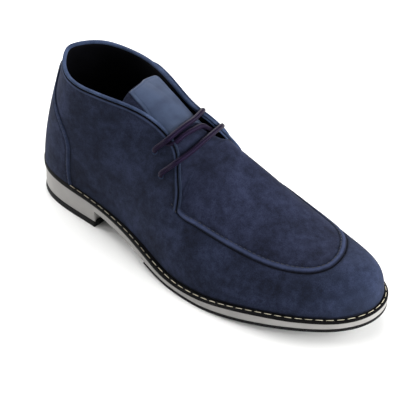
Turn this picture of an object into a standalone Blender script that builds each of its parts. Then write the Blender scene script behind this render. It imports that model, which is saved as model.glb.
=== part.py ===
"""
Right-foot chukka boot with a moccasin toe, empty and standing on its sole.

Sizes are millimetres until a mesh is written. In the tables "forward" runs from the heel
(0) to the toe (LENGTH), the lateral (outer) side is negative sideways and the medial
(inner) side is positive, and height is above the floor. The finished model is shifted so
that its origin lies under the middle of its box.
"""
import math

import bmesh
import bpy
import numpy as np

MM = 0.001
LATERAL = -1
MEDIAL = 1
SIDES = (LATERAL, MEDIAL)


def table(columns, *rows):
    """A short table as named columns."""
    return dict(zip(columns.split(), np.array(rows, float).T))


# Driving sizes
LENGTH = 300.0
MIDSOLE = 5.0            # grey layer
OUTSOLE = 2.6            # black forepart sheet, the gap over it included
OUTSOLE_START = 130.0
TOP_LIFT = 4.3           # black heel lift, the gap over it included
BREAST = 72.0            # front of the heel at the floor
BREAST_SLOPE = 3.0       # the breast leans forward by this much
WELT = 2.2               # welt, the gap under it included
WELT_TUCK = 3.0          # the welt reaches this far in under the upper
INSOLE = 3.0
GAP = 0.3                # clearance between curved pieces
WALL = 2.0               # upper
TONGUE = 2.0
COUNTER = 1.2
COUNTER_GAP = 0.4
LACE = 3.0               # diameter

# Edge of the sole seen from above, from the back of the heel to the tip of the toe
LATERAL_EDGE = table("forward sideways",
                     (0, 0), (10, -22), (35, -32.2), (75, -35), (115, -41.4), (155, -51),
                     (195, -53), (235, -45.5), (268, -33), (291, -16.5), (300, 4.5))
MEDIAL_EDGE = table("forward sideways",
                    (0, 0), (10, 21.5), (35, 32.2), (75, 32.2), (115, 27), (150, 33), (180, 45.5),
                    (210, 50.6), (240, 48), (272, 39.5), (293, 26), (300, 4.5))
TOE_FLATNESS = 0.004     # the outline falls back from the tip by at least this share of its run

# Top of the grey midsole: heel pitch, waist, flat tread and toe spring
SOLE_TOP = table("forward height",
                 (0, 22.3), (40, 20), (70, 18.4), (110, 12.8), (150, 8), (190, 7.6), (230, 11.6),
                 (265, 16.6), (300, 21.2))
TREAD_TOP = MIDSOLE + OUTSOLE   # the midsole is never lower, so the tread has a flat spot

# How far the foot of the upper stands inside the edge of the sole
FEATHER_INSET = table("forward inset",
                      (0, 1.2), (40, 1.2), (90, 2.6), (140, 4.0), (200, 4.6), (270, 3.6), (300, 2.5))

# Top edge of the quarters: round the collar, then down the facing
QUARTER_EDGE = table("forward half_width height",
                     (20, 0, 116), (22.5, 7, 116.2), (27.5, 13.9, 116.2), (34.8, 21.2, 115.2),
                     (44, 26.2, 113.4), (56, 28.4, 112.5), (70, 27.9, 112.5), (84, 25.4, 111.9),
                     (100, 21.2, 110.1), (112, 18.3, 107), (124, 17.1, 102.6), (130, 17.5, 100.3),
                     (137, 18.8, 97.2), (143.6, 21.5, 91.5), (147.2, 24.7, 85.7), (151, 28.6, 78),
                     (154.3, 31.8, 68.5))
THROAT = 156.0                                  # the facings end here, on the apron seam
CORNER_ANGLE = {LATERAL: 35.3, MEDIAL: 31.4}    # degrees up the section at the throat
COLLAR_ANGLE = 15.0                             # the same at the back of the collar

# Crest of the tongue and the instep, down to the toe
CREST = table("forward sideways height",
              (91, 2, 118.5), (113, 5, 112.2), (135, 7.8, 102.7), (156, 9.5, 91), (175, 9.8, 78.4),
              (200, 10.3, 62.4), (225, 10, 53.6), (250, 8.8, 50.2), (275, 8, 50))
TONGUE_TOP = 91.0        # the first three rows are the crest of the tongue
TOE_REACH = 23.0         # the last section leans back this far from the tip of the toe
TOE_REACH_START = 205.0

# Heel counter: how far round the heel it reaches, at heights up the quarter
COUNTER_EDGE = table("climb reach",
                     (0.01, 0.37), (0.3, 0.35), (0.5, 0.325), (0.62, 0.27), (0.72, 0.2),
                     (0.8, 0.14), (0.93, 0.1))

TONGUE_BACK = 0.5        # share of the quarter's edge where the tongue starts
TONGUE_FRONT = 0.96      # and where it ends
TONGUE_TUCK = 11.0       # its wings run this far under the facings
TONGUE_DEPTH = 0.6       # clearance between a facing and the wing under it
DIP_START = 0.8          # share of the edge where the tongue starts to dip under the apron
APRON_CLEARANCE = 1.8    # how much deeper it ends than its wings
TONGUE_FALL = table("share fall", (0.5, 1.7), (0.6, 2.4), (0.66, 3.6), (0.72, 5.2), (0.8, 6.2),
                    (0.88, 4.6), (0.95, 1.6), (1, 0))
FALL_START = 0.33        # places across the tongue where its medial half starts to fall away
FALL_END = 0.68
FALL_WAY = np.array([0, -0.55, -0.83])  # from its facing, in and down

# Lace. A bar runs from a lateral eyelet over both facings to the medial one; it crosses the
# facings' edges at these shares, lateral and medial, and lies on the tongue between. Places
# across the tongue run from wing (0) to wing (1).
EYELETS = {"lower": (0.79, 0.78), "upper": (0.7, 0.84)}         # share and climb
CROSSING = {"lower": (0.81, 0.8), "upper": (0.713, 0.7)}
ON_TONGUE = {"lower": table("share place", (0.837, 0.27), (0.852, 0.37), (0.849, 0.47)),
             "upper": table("share place", (0.722, 0.27), (0.728, 0.37), (0.726, 0.48))}
INNER_RUN = table("share place", (0.752, 0.27), (0.762, 0.37), (0.77, 0.5), (0.774, 0.64))
OVER_FACING = 0.985      # climb where a bar leaves a facing

# Shape of the sections: a power near 1 is round, a lower one is fuller; the bulge is
# outwards, half way up the wall
SECTION = table("forward lateral_power medial_power lateral_bulge medial_bulge",
                (0, 1.4, 1.4, 0, 0), (40, 1.2, 1.2, 1.0, 1.0), (115, 1.0, 0.9, 2.0, 5.0),
                (156, 1.0, 0.76, 0.5, 2.5), (200, 1.06, 0.71, 0, 0), (240, 1.05, 0.68, 0, 0),
                (300, 0.71, 0.71, 0, 0))


def smooth(at, knots, values):
    """Natural cubic spline through the knots."""
    steps = np.diff(knots)
    slopes = np.diff(values) / steps
    count = len(knots)
    system = np.eye(count)
    right = np.zeros(count)
    for i in range(1, count - 1):
        system[i, i - 1:i + 2] = steps[i - 1], 2 * (steps[i - 1] + steps[i]), steps[i]
        right[i] = 6 * (slopes[i] - slopes[i - 1])
    bend = np.linalg.solve(system, right)
    i = np.clip(np.searchsorted(knots, at) - 1, 0, count - 2)
    after = (at - knots[i]) / steps[i]
    before = 1 - after
    curve = (before ** 3 - before) * bend[i] + (after ** 3 - after) * bend[i + 1]
    return before * values[i] + after * values[i + 1] + curve * steps[i] ** 2 / 6


def run_length(points):
    """Distance along a line of points, from 0."""
    return np.concatenate([[0], np.cumsum(np.linalg.norm(np.diff(points, axis=0), axis=1))])


def along(points, fraction):
    """Points at fractions of the length of a line."""
    length = run_length(points)
    at = np.asarray(fraction) * length[-1]
    return np.stack([np.interp(at, length, column) for column in points.T], axis=-1)


def sole_top(forward):
    return np.maximum(smooth(forward, SOLE_TOP["forward"], SOLE_TOP["height"]), TREAD_TOP)


def tip_foremost(line):
    """A line that ends at the toe, held back a little so that its last point is its foremost."""
    left = run_length(line)[-1] - run_length(line)
    line[:, 0] = np.minimum(line[:, 0], line[-1, 0] - TOE_FLATNESS * left)
    return line


def sole_edge():
    """The closed outline as two dense lines, {side: points}, each from heel to toe."""
    lateral = np.stack([LATERAL_EDGE["forward"], LATERAL_EDGE["sideways"]], axis=1)
    medial = np.stack([MEDIAL_EDGE["forward"], MEDIAL_EDGE["sideways"]], axis=1)
    lap = np.concatenate([lateral, medial[-2:0:-1]])
    laps = np.concatenate([lap, lap, lap, lap[:1]])
    knots = np.concatenate([[0], np.cumsum(np.linalg.norm(np.diff(laps, axis=0), axis=1) ** 0.5)])
    start, toe, end = len(lap), len(lap) + len(lateral) - 1, 2 * len(lap)

    def line(first, last):
        at = np.linspace(knots[first], knots[last], 500)
        return tip_foremost(np.stack([smooth(at, knots, laps[:, 0]),
                                      smooth(at, knots, laps[:, 1])], axis=1))

    return {LATERAL: line(start, toe), MEDIAL: line(end, toe)}


EDGE = sole_edge()


def inset_edge(side, inset):
    """One side of the outline moved inwards, and the level directions outwards along it."""
    there = EDGE[side]
    other = EDGE[-side]
    ring = np.concatenate([other[1:2], there, other[-2:-1]])
    direction = ring[2:] - ring[:-2]
    direction /= np.linalg.norm(direction, axis=1)[:, None]
    outwards = np.stack([-direction[:, 1], direction[:, 0]], axis=1) * side
    return there - outwards * np.reshape(inset, (-1, 1)), outwards


def feather_inset(side):
    return smooth(EDGE[side][:, 0], FEATHER_INSET["forward"], FEATHER_INSET["inset"])


def foot_line(side):
    """Dense line of the foot of the upper, just over the welt, from heel to toe. Columns:
    forward, sideways, height, and the level direction outwards."""
    line, outwards = inset_edge(side, feather_inset(side))
    line = tip_foremost(line)
    height = sole_top(line[:, 0]) + WELT + GAP
    return np.column_stack([line, height, outwards, 0 * height])


FOOT = {side: foot_line(side) for side in SIDES}
TIP = FOOT[LATERAL][-1, 0]


def foot_at(side, forward):
    """Foot points and outward directions at forward positions."""
    line = FOOT[side]
    reach = np.maximum.accumulate(line[:, 0])
    values = np.stack([np.interp(forward, reach, column) for column in line.T], axis=-1)
    return values[..., :3], values[..., 3:]


def foot_share(side, share):
    """Foot points and outward directions at shares of the way from the heel to the throat."""
    line = FOOT[side][:, :3]
    length = run_length(line)
    to_throat = np.interp(THROAT, line[:, 0], length)
    values = [np.interp(share * to_throat, length, column) for column in FOOT[side].T]
    values = np.stack(values, axis=-1)
    return values[..., :3], values[..., 3:]


def section_value(side, column, forward):
    name = {LATERAL: "lateral_", MEDIAL: "medial_"}[side] + column
    return smooth(forward, SECTION["forward"], SECTION[name])


def rise(angle, power):
    """Shares of the way inwards and upwards at an angle up a rounded section."""
    return 1 - np.cos(angle) ** power, np.sin(angle) ** power


def swell(side, forward, share):
    """Bulge of the wall between its foot (0) and the top of the quarter's line (1)."""
    amount = section_value(side, "bulge", forward)
    return (amount * np.sin(math.pi * np.clip(share, 0, 1)) ** 2)[..., None]


def crest(forward):
    """Points along the crest of the instep, and its slope there."""
    point = np.stack([forward,
                      smooth(forward, CREST["forward"], CREST["sideways"]),
                      smooth(forward, CREST["forward"], CREST["height"])], axis=-1)
    step = 0.1
    ahead = smooth(forward + step, CREST["forward"], CREST["height"])
    return point, (ahead - point[..., 2]) / step


def forepart(side, forward, angle):
    """Skin of the forepart: sections from the foot, up and over to the crest. Sections near
    the tip lean back, and their height follows the slope of the crest."""
    forward, angle = np.broadcast_arrays(forward, angle)
    foot, outwards = foot_at(side, forward)
    lean = np.clip((forward - TOE_REACH_START) / (TIP - TOE_REACH_START), 0, 1) ** 2
    top, slope = crest(forward - TOE_REACH * lean)
    inwards, upwards = rise(angle, section_value(side, "power", forward))
    point = foot + (top - foot) * inwards[..., None]
    drop = slope * (foot[..., 0] - top[..., 0]) * (1 - inwards) * upwards
    point[..., 2] = foot[..., 2] + (top - foot)[..., 2] * upwards + drop
    share = angle / math.radians(CORNER_ANGLE[side])
    return point + outwards * swell(side, forward, share)


def quarter_edge(side):
    """Dense line of the top of a quarter, from the back of the collar to the throat."""
    rows = np.stack([QUARTER_EDGE["forward"], QUARTER_EDGE["half_width"] * side,
                     QUARTER_EDGE["height"]], axis=1)
    round_the_back = rows[3:0:-1] * (1, -1, 1)
    corner = forepart(side, THROAT, math.radians(CORNER_ANGLE[side]))
    points = np.vstack([round_the_back, rows, corner])
    knots = run_length(points)
    at = np.linspace(knots[3], knots[-1], 400)
    return np.stack([smooth(at, knots, column) for column in points.T], axis=-1)


TOP = {side: quarter_edge(side) for side in SIDES}


def quarter(side, share, climb):
    """Skin of a quarter: share runs from the back (0) to the throat (1), climb from the foot
    (0) to the top edge (1)."""
    share, climb = np.broadcast_arrays(share, climb)
    foot, outwards = foot_share(side, share)
    top = along(TOP[side], share)
    turn = np.radians(COLLAR_ANGLE + (CORNER_ANGLE[side] - COLLAR_ANGLE) * share ** 2)
    power = section_value(side, "power", foot[..., 0])
    inwards, upwards = rise(turn * climb, power)
    whole_in, whole_up = rise(turn, power)
    point = foot + (top - foot) * (inwards / whole_in)[..., None]
    point[..., 2] = foot[..., 2] + (top - foot)[..., 2] * upwards / whole_up
    return point + outwards * swell(side, foot[..., 0], climb)


def outwards_at(side, share, climb):
    """Unit normals of a quarter."""
    step = 0.004
    ahead = np.minimum(share + step, 1)
    above = np.minimum(climb + step, 1)
    forwards = quarter(side, ahead, climb) - quarter(side, ahead - 2 * step, climb)
    upwards = quarter(side, share, above) - quarter(side, share, above - 2 * step)
    normal = np.cross(forwards, upwards) * -side
    return normal / np.linalg.norm(normal, axis=-1, keepdims=True)


def sunk(line, side, depth):
    """A section line, running upwards, moved inwards within its own section."""
    along_y, along_z = np.gradient(line, axis=0)[:, 1:].T
    inwards = side * np.stack([0 * along_y, -along_z, along_y], axis=1)
    return line + inwards / np.linalg.norm(inwards, axis=1, keepdims=True) * depth


def tongue_line(share, count):
    """One section of the tongue, from wing to wing. Its wings follow the inside of the
    quarters, its medial half falls in, and it sinks under the apron at the throat."""
    depth = WALL + TONGUE_DEPTH
    sink = np.clip((share - DIP_START) / (TONGUE_FRONT - DIP_START), 0, 1) ** 2
    top = crest(tongue_forward(share))[0]
    halves = []
    for side in SIDES:
        under = sunk(quarter(side, share, np.linspace(0.6, 1, 24)), side, depth)
        turn = math.radians(CORNER_ANGLE[side])
        angles = np.linspace(turn, math.pi / 2, 24)
        power = section_value(side, "power", THROAT)
        inwards, upwards = rise(angles, power)
        inwards = (inwards - inwards[0]) / (1 - inwards[0])
        upwards = (upwards - upwards[0]) / (1 - upwards[0])
        arch = under[-1] + (top - under[-1]) * np.stack([inwards, inwards, upwards], axis=1)
        lid = sunk(forepart(side, THROAT, angles), side, depth + APRON_CLEARANCE)
        line = np.vstack([under, (arch + (lid - arch) * sink)[1:]])
        length = run_length(line)
        at = np.linspace(length[len(under) - 1] - TONGUE_TUCK, length[-1], count)
        halves.append(np.stack([np.interp(at, length, column) for column in line.T], axis=1))
    line = np.vstack([halves[0], halves[1][-2::-1]])
    part = np.clip((np.linspace(0, 1, len(line)) - FALL_START) / (FALL_END - FALL_START), 0, 1)
    fall = np.interp(share, TONGUE_FALL["share"], TONGUE_FALL["fall"])
    return line + np.outer(fall * part ** 2 * (3 - 2 * part), FALL_WAY)


def tongue_forward(share):
    """Forward position of the tongue's crest at a share of the quarter's edge."""
    edge = along(TOP[LATERAL], np.array([TONGUE_BACK, share]))[:, 0]
    return TONGUE_TOP + (THROAT - TONGUE_TOP) * (edge[1] - edge[0]) / (THROAT - edge[0])


# ---- MESHES
def closed_mesh(name, points, faces, finish):
    """Object from millimetre points; doubles are merged and faces turned outwards."""
    mesh = bpy.data.meshes.new(name)
    places = (np.asarray(points) - ORIGIN) * MM
    mesh.from_pydata(places.tolist(), [], faces)
    work = bmesh.new()
    work.from_mesh(mesh)
    bmesh.ops.remove_doubles(work, verts=work.verts, dist=0.00001)
    bmesh.ops.dissolve_degenerate(work, edges=work.edges, dist=0.00001)
    work.to_mesh(mesh)
    work.free()
    mesh.materials.append(finish)
    mesh.shade_smooth()
    mesh.set_sharp_from_angle(angle=math.radians(40))
    item = bpy.data.objects.new(name, mesh)
    bpy.context.collection.objects.link(item)
    return item


def grid_faces(start, rows, columns, flip=False, close=False):
    """Quads of a grid of points stored row after row; close joins the last column to the
    first."""
    faces = []
    for i in range(rows - 1):
        for j in range(columns if close else columns - 1):
            a = start + i * columns + j
            b = start + i * columns + (j + 1) % columns
            quad = (a, b, b + columns, a + columns)
            faces.append(quad[::-1] if flip else quad)
    return faces


def material(name, colour, roughness, metallic=0.0):
    """Principled material from an sRGB hex colour."""
    finish = bpy.data.materials.new(name)
    finish.use_nodes = True
    shader = finish.node_tree.nodes["Principled BSDF"]
    levels = [int(colour[i:i + 2], 16) / 255 for i in (1, 3, 5)]
    linear = [v / 12.92 if v <= 0.04045 else ((v + 0.055) / 1.055) ** 2.4 for v in levels]
    shader.inputs["Base Color"].default_value = (*linear, 1)
    shader.inputs["Roughness"].default_value = roughness
    shader.inputs["Metallic"].default_value = metallic
    return finish


def stations(start, end, count):
    """Forward positions close together at both ends."""
    return start + (end - start) * (1 - np.cos(np.linspace(0, math.pi, count))) / 2


def sole_ring(forward, inset, height):
    """Both edges of a sole layer at forward positions: lateral heel to toe, then medial back."""
    halves = []
    for side in SIDES:
        line = inset_edge(side, inset[side] if isinstance(inset, dict) else inset)[0]
        reach = np.maximum.accumulate(line[:, 0])
        at = np.clip(forward, line[0, 0], line[-1, 0])
        halves.append(np.stack([at, np.interp(at, reach, line[:, 1]), height(at)], axis=1))
    return np.vstack([halves[0], halves[1][::-1]])


def sole_layer(name, forward, levels, finish):
    """A layer of the sole lofted through levels, (inset, height function) from bottom to top."""
    rings = [sole_ring(forward, inset, height) for inset, height in levels]
    around = len(rings[0])
    count = around // 2
    faces = grid_faces(0, len(rings), around, close=True)
    top = (len(rings) - 1) * around
    for i in range(count - 1):
        back, ahead = i, i + 1
        faces.append((back, around - 1 - back, around - 1 - ahead, ahead))
        faces.append((top + back, top + ahead, top + around - 1 - ahead, top + around - 1 - back))
    return closed_mesh(name, np.vstack(rings), faces, finish)


def upper_shell(name, finish):
    """Outer skin of the upper as grids, with its wall made inwards."""
    climbs = np.linspace(0, 1, 8)
    shares = np.sin(np.linspace(0, math.pi / 2, 21)) ** 1.2
    ahead = THROAT + (TIP - THROAT) * np.sin(np.linspace(0, math.pi / 2, 19))
    grids = {}
    for side in SIDES:
        turn = math.radians(CORNER_ANGLE[side])
        grids[side] = [quarter(side, shares[:, None], climbs),
                       forepart(side, ahead[:, None], turn * climbs),
                       forepart(side, ahead[:, None], np.linspace(turn, math.pi / 2, 9))]
    for lateral, medial in zip(grids[LATERAL][1:], grids[MEDIAL][1:]):
        lateral[-1] = medial[-1] = (lateral[-1] + medial[-1]) / 2   # one line down the toe
    points, faces, start = [], [], 0
    for side in SIDES:
        for grid in grids[side]:
            rows, columns = grid.shape[:2]
            points.append(grid.reshape(-1, 3))
            faces += grid_faces(start, rows, columns, flip=side == LATERAL)
            start += rows * columns
    item = closed_mesh(name, np.vstack(points), faces, finish)
    return with_wall(item, WALL, inwards=True)


def with_wall(item, thickness, inwards):
    solidify = item.modifiers.new("wall", "SOLIDIFY")
    solidify.thickness = thickness * MM
    solidify.offset = -1 if inwards else 1
    solidify.use_even_offset = True
    return item


def heel_counter(name, finish):
    """Panel round the heel, just off the quarters, with its wall made outwards."""
    climbs = np.concatenate([np.linspace(0.01, 0.5, 5), np.linspace(0.56, 0.93, 8)])
    reach = smooth(climbs, COUNTER_EDGE["climb"], COUNTER_EDGE["reach"])
    share = np.linspace(0, 1, 11)[:, None] * reach
    grid = np.vstack([quarter(LATERAL, share, climbs)[:0:-1], quarter(MEDIAL, share, climbs)])
    normal = np.cross(np.gradient(grid, axis=1), np.gradient(grid, axis=0))
    grid += normal / np.linalg.norm(normal, axis=-1, keepdims=True) * COUNTER_GAP
    faces = grid_faces(0, *grid.shape[:2])
    item = closed_mesh(name, grid.reshape(-1, 3), faces, finish)
    return with_wall(item, COUNTER, inwards=False)


def tongue(name, finish):
    """The tongue's outer skin, with its wall made inwards."""
    shares = np.linspace(TONGUE_BACK, TONGUE_FRONT, 17)
    lines = np.array([tongue_line(share, 11) for share in shares])
    faces = grid_faces(0, *lines.shape[:2], flip=True)
    item = closed_mesh(name, lines.reshape(-1, 3), faces, finish)
    return with_wall(item, TONGUE, inwards=True)


def smooth_path(points, count):
    """Smooth line of count points through a few points."""
    points = np.array(points)
    knots = run_length(points)
    at = np.linspace(0, knots[-1], count)
    return np.stack([smooth(at, knots, column) for column in points.T], axis=1)


def lace(name, path, finish):
    """Round lace along a path, with flat ends."""
    curve = bpy.data.curves.new(name, "CURVE")
    curve.dimensions = "3D"
    curve.bevel_depth = LACE / 2 * MM
    curve.bevel_resolution = 2
    curve.use_fill_caps = True
    spline = curve.splines.new("POLY")
    spline.points.add(len(path) - 1)
    places = (path - ORIGIN) * MM
    for point, place in zip(spline.points, places):
        point.co = (*place, 1)
    curve.materials.append(finish)
    item = bpy.data.objects.new(name, curve)
    bpy.context.collection.objects.link(item)
    return item


def over_tongue(share, place, lift):
    """Point lifted off the tongue, at a share of the way from wing to wing."""
    line = tongue_line(share, 41)
    at = place * (len(line) - 1)
    here, beside = [np.array([np.interp(at + step, np.arange(len(line)), column)
                              for column in line.T]) for step in (0, 1)]
    up = np.cross((1, 0, crest(tongue_forward(share))[1]), beside - here)
    return here + up / np.linalg.norm(up) * lift


def bar_path(name):
    """A bar of the lace: from a lateral eyelet over both facings to the medial one."""
    lift = LACE / 2 + GAP
    share, climb = EYELETS[name]
    climbs = np.array([climb, (climb + OVER_FACING) / 2, OVER_FACING])
    lifts = np.array([[lift], [lift + GAP], [lift + 2 * GAP]])
    halves = []
    for side, crossing in zip(SIDES, CROSSING[name]):
        shares = np.linspace(share, crossing, 3)
        halves.append(quarter(side, shares, climbs) + outwards_at(side, shares, climbs) * lifts)
    over = [over_tongue(*where, lift + 2 * GAP) for where in zip(*ON_TONGUE[name].values())]
    return smooth_path([*halves[0], *over, *halves[1][::-1]], 25)


def inner_run_path():
    """The run of lace that lies on the tongue, between the facings."""
    points = [over_tongue(*where, LACE / 2 + GAP) for where in zip(*INNER_RUN.values())]
    return smooth_path(points, 21)


def main():
    for item in list(bpy.data.objects):
        bpy.data.objects.remove(item, do_unlink=True)

    grey = material("grey_midsole_foam", "#C9C6BF", 0.7)
    black = material("black_rubber", "#17171A", 0.6)
    suede = material("navy_suede", "#4E5268", 0.95)
    edging = material("black_welt", "#1D1C1F", 0.6)
    lining = material("black_lining", "#111319", 0.8)
    cord = material("waxed_lace", "#4F414F", 0.6)

    whole = stations(0, LENGTH, 41)
    heel = whole[whole < BREAST]
    step = np.array([BREAST, BREAST + BREAST_SLOPE])
    behind = whole[whole > BREAST + BREAST_SLOPE]
    lift_end = BREAST - 0.2                             # the lift stops short of the breast
    floor = stations(0, lift_end, 22)

    def under(forward):
        """Underside of the midsole: the heel block, then the thin forepart."""
        return np.where(forward <= BREAST, TOP_LIFT, sole_top(forward) - MIDSOLE)

    sole_layer("midsole_heel", np.concatenate([heel, step, behind]),
               [(0.9, under), (0.1, lambda f: under(f) + 0.8),
                (0.0, lambda f: sole_top(f) - 0.9), (0.6, sole_top)], grey)
    sole_layer("top_lift", floor,
               [(0.6, lambda f: 0 * f), (0.2, lambda f: 0 * f + 0.6),
                (0.2, lambda f: 0 * f + TOP_LIFT - GAP)], black)
    sole_layer("outsole_forepart", np.append(OUTSOLE_START, whole[whole > OUTSOLE_START + 2]),
               [(0.8, lambda f: sole_top(f) - MIDSOLE - OUTSOLE),
                (0.3, lambda f: sole_top(f) - MIDSOLE - OUTSOLE + 0.6),
                (0.5, lambda f: sole_top(f) - MIDSOLE - GAP)], black)

    inside = {side: feather_inset(side) + WELT_TUCK for side in SIDES}
    welt_rings = [sole_ring(whole, inset, height) for inset, height in (
        (0.7, lambda f: sole_top(f) + GAP), (0.4, lambda f: sole_top(f) + WELT - 0.6),
        (0.8, lambda f: sole_top(f) + WELT), (inside, lambda f: sole_top(f) + WELT),
        (inside, lambda f: sole_top(f) + GAP))]
    rings = np.stack(welt_rings + welt_rings[:1])
    closed_mesh("welt", rings.reshape(-1, 3), grid_faces(0, *rings.shape[:2], close=True), edging)

    footbed = {side: feather_inset(side) + WELT_TUCK + 2 * GAP for side in SIDES}
    sole_layer("insole", whole, [(footbed, lambda f: sole_top(f) + GAP),
                                 (footbed, lambda f: sole_top(f) + INSOLE)], lining)

    upper_shell("upper", suede)
    heel_counter("heel_counter", suede)
    tongue("tongue", suede)
    for name in EYELETS:
        lace(f"lace_{name}_bar", bar_path(name), cord)
    lace("lace_inner_run", inner_run_path(), cord)


ORIGIN = np.array([LENGTH / 2, (EDGE[LATERAL][:, 1].min() + EDGE[MEDIAL][:, 1].max()) / 2, 0])
main()
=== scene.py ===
"""
Looks of a right-foot suede chukka boot with a moccasin toe.

Shapes are worked out in millimetres: forward from the back of the heel, sideways with the
medial (inner) side positive, and height above the floor. to_frame() turns them into the
part's own frame, in metres, with its origin under the middle of the boot.
"""
import math

import bmesh
import bpy
import numpy as np
from mathutils import Matrix, Vector


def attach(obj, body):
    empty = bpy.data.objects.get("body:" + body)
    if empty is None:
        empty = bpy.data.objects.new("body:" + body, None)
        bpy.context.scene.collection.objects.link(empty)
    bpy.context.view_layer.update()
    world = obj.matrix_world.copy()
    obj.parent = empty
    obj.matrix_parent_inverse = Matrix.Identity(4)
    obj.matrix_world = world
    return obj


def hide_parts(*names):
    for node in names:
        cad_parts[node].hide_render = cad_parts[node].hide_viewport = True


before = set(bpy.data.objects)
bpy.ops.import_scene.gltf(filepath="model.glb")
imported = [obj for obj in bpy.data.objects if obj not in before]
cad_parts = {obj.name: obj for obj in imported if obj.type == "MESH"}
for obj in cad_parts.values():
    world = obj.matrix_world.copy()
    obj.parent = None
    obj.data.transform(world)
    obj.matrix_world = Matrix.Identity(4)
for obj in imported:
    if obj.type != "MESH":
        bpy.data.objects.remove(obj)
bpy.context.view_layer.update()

MM = 0.001
LATERAL, MEDIAL = -1, 1
SIDES = (LATERAL, MEDIAL)
NAMES = {LATERAL: "lateral", MEDIAL: "medial"}


def table(columns, *rows):
    """A short table as named columns. Its curves run over its first column."""
    return dict(zip(columns.split(), np.array(rows, float).T))


def points_of(sizes):
    """The rows of a table as points."""
    return np.stack(list(sizes.values()), axis=1)


# ---- Sizes, as in the solids, with the gaps between layers of the sole closed
LENGTH = 300.0
MIDSOLE = 5.0
OUTSOLE = 2.6
OUTSOLE_START = 130.0
TOP_LIFT = 4.3
BREAST = 72.0
BREAST_SLOPE = 3.0
WELT = 2.2
WELT_TUCK = 3.0
GAP = 0.3                       # between the welt and the foot of the upper
LACE = 3.9                      # the solids' lace is 3.0

LATERAL_EDGE = table("forward sideways",
                     (0, 0), (10, -22), (35, -32.2), (75, -35), (115, -41.4), (155, -51),
                     (195, -53), (235, -45.5), (268, -33), (291, -16.5), (300, 4.5))
MEDIAL_EDGE = table("forward sideways",
                    (0, 0), (10, 21.5), (35, 32.2), (75, 32.2), (115, 27), (150, 33), (180, 45.5),
                    (210, 50.6), (240, 48), (272, 39.5), (293, 26), (300, 4.5))
SOLE_TOP = table("forward height",
                 (0, 22.3), (40, 20), (70, 18.4), (110, 12.8), (150, 8), (190, 7.6), (230, 11.6),
                 (265, 16.6), (300, 21.2))
TREAD_TOP = MIDSOLE + OUTSOLE
FEATHER_INSET = table("forward inset",
                      (0, 1.2), (40, 1.2), (90, 2.6), (140, 4.0), (200, 4.6), (270, 3.6),
                      (300, 2.5))
# The foam's upper edge waves about the sole's top, the welt rises over that edge to its
# stitches, and the foot of the upper is pulled down on to the welt
BRIM = table("forward rise", (0, 0.6), (24, 0.6), (56, 0.9), (88, 0.95), (104, 1.2), (120, 0.9),
             (132, 0.4), (144, -0.6), (160, -1.1), (170, -1.1), (184, -0.5), (200, 0.5),
             (214, 1.2), (228, 1.5), (240, 1.35), (256, 0.45), (272, 0.05), (290, -0.5),
             (300, -0.5))
CROWN = table("forward rise", (0, 4.0), (56, 4.2), (76, 3.7), (96, 3.8), (115, 4.1), (140, 3.6),
              (160, 1.9), (180, 1.5), (205, 1.4), (232, 1.8), (265, 2.3), (300, 2.3))
FOOT_DROP = table("forward drop", (0, 0), (58, 0), (74, 0.9), (96, 0.3), (142, 0.1), (155, 1.5),
                  (168, 2.1), (190, 1.2), (205, 0.5), (218, 0), (245, 0), (262, 0.7), (282, 1.0),
                  (300, 0.7))
QUARTER_EDGE = table("forward half_width height",
                     (20, 0, 116), (22.5, 7, 116.2), (27.5, 13.9, 116.2), (34.8, 21.2, 115.2),
                     (44, 26.2, 113.4), (56, 28.4, 112.5), (70, 27.9, 112.5), (84, 25.4, 111.9),
                     (100, 21.2, 110.1), (112, 18.3, 107), (124, 17.1, 102.6), (130, 17.5, 100.3),
                     (137, 18.8, 97.2), (143.6, 21.5, 91.5), (147.2, 24.7, 85.7), (151, 28.6, 78),
                     (154.3, 31.8, 68.5))
THROAT = 156.0
CORNER_ANGLE = {LATERAL: 35.3, MEDIAL: 31.4}    # degrees up the section, at the throat
COLLAR_ANGLE = 15.0                             # and at the back of the collar
CREST = table("forward sideways height",
              (91, 2, 118.5), (113, 5, 112.2), (135, 7.8, 102.7), (156, 9.5, 91), (175, 9.8, 78.4),
              (200, 10.3, 62.4), (225, 10, 53.6), (250, 8.8, 50.2), (275, 8, 50))
TONGUE_TOP = 91.0
TONGUE_BACK = 0.5
TOE_REACH = 23.0
TOE_REACH_START = 205.0
COUNTER_EDGE = table("climb reach",
                     (0.01, 0.37), (0.3, 0.35), (0.5, 0.325), (0.62, 0.27), (0.72, 0.2),
                     (0.8, 0.14), (0.93, 0.1))
COUNTER_SPAN = (0.01, 0.93)     # its climbs
EYELETS = table("share climb", (0.79, 0.78), (0.7, 0.84))     # lower and upper
SECTION = table("forward lateral_power medial_power lateral_bulge medial_bulge",
                (0, 1.4, 1.4, 0, 0), (40, 1.2, 1.2, 1.0, 1.0), (115, 1.0, 0.9, 2.0, 5.0),
                (156, 1.0, 0.76, 0.5, 2.5), (200, 1.06, 0.71, 0, 0), (240, 1.05, 0.68, 0, 0),
                (300, 0.71, 0.71, 0, 0))

# Apron seam in plan, from the lateral throat round the toe to the medial throat
APRON_SEAM = table("forward sideways",
                   (156, -36.5), (158, -36.9), (160.8, -37.1), (164.8, -37), (170.1, -36.4),
                   (181.4, -34.8), (192, -32.8), (202.7, -30.6), (213.3, -28.5), (223.9, -26.4),
                   (234.2, -24), (244, -21.1), (252.4, -18), (259.4, -14.4), (264.6, -9.8),
                   (267.6, -4.8), (268.4, 0.6), (267.7, 6.2), (265.9, 11.5), (263.1, 16.6),
                   (259.5, 21.7), (254.6, 27), (247.8, 32), (239, 35.8), (226, 38.1), (208, 39),
                   (190, 38.3), (171, 34.1), (162.3, 30.8), (156, 28.34))
APRON_SPINE_END = 268.0         # the apron's rows fan out from the crest up to here

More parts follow.
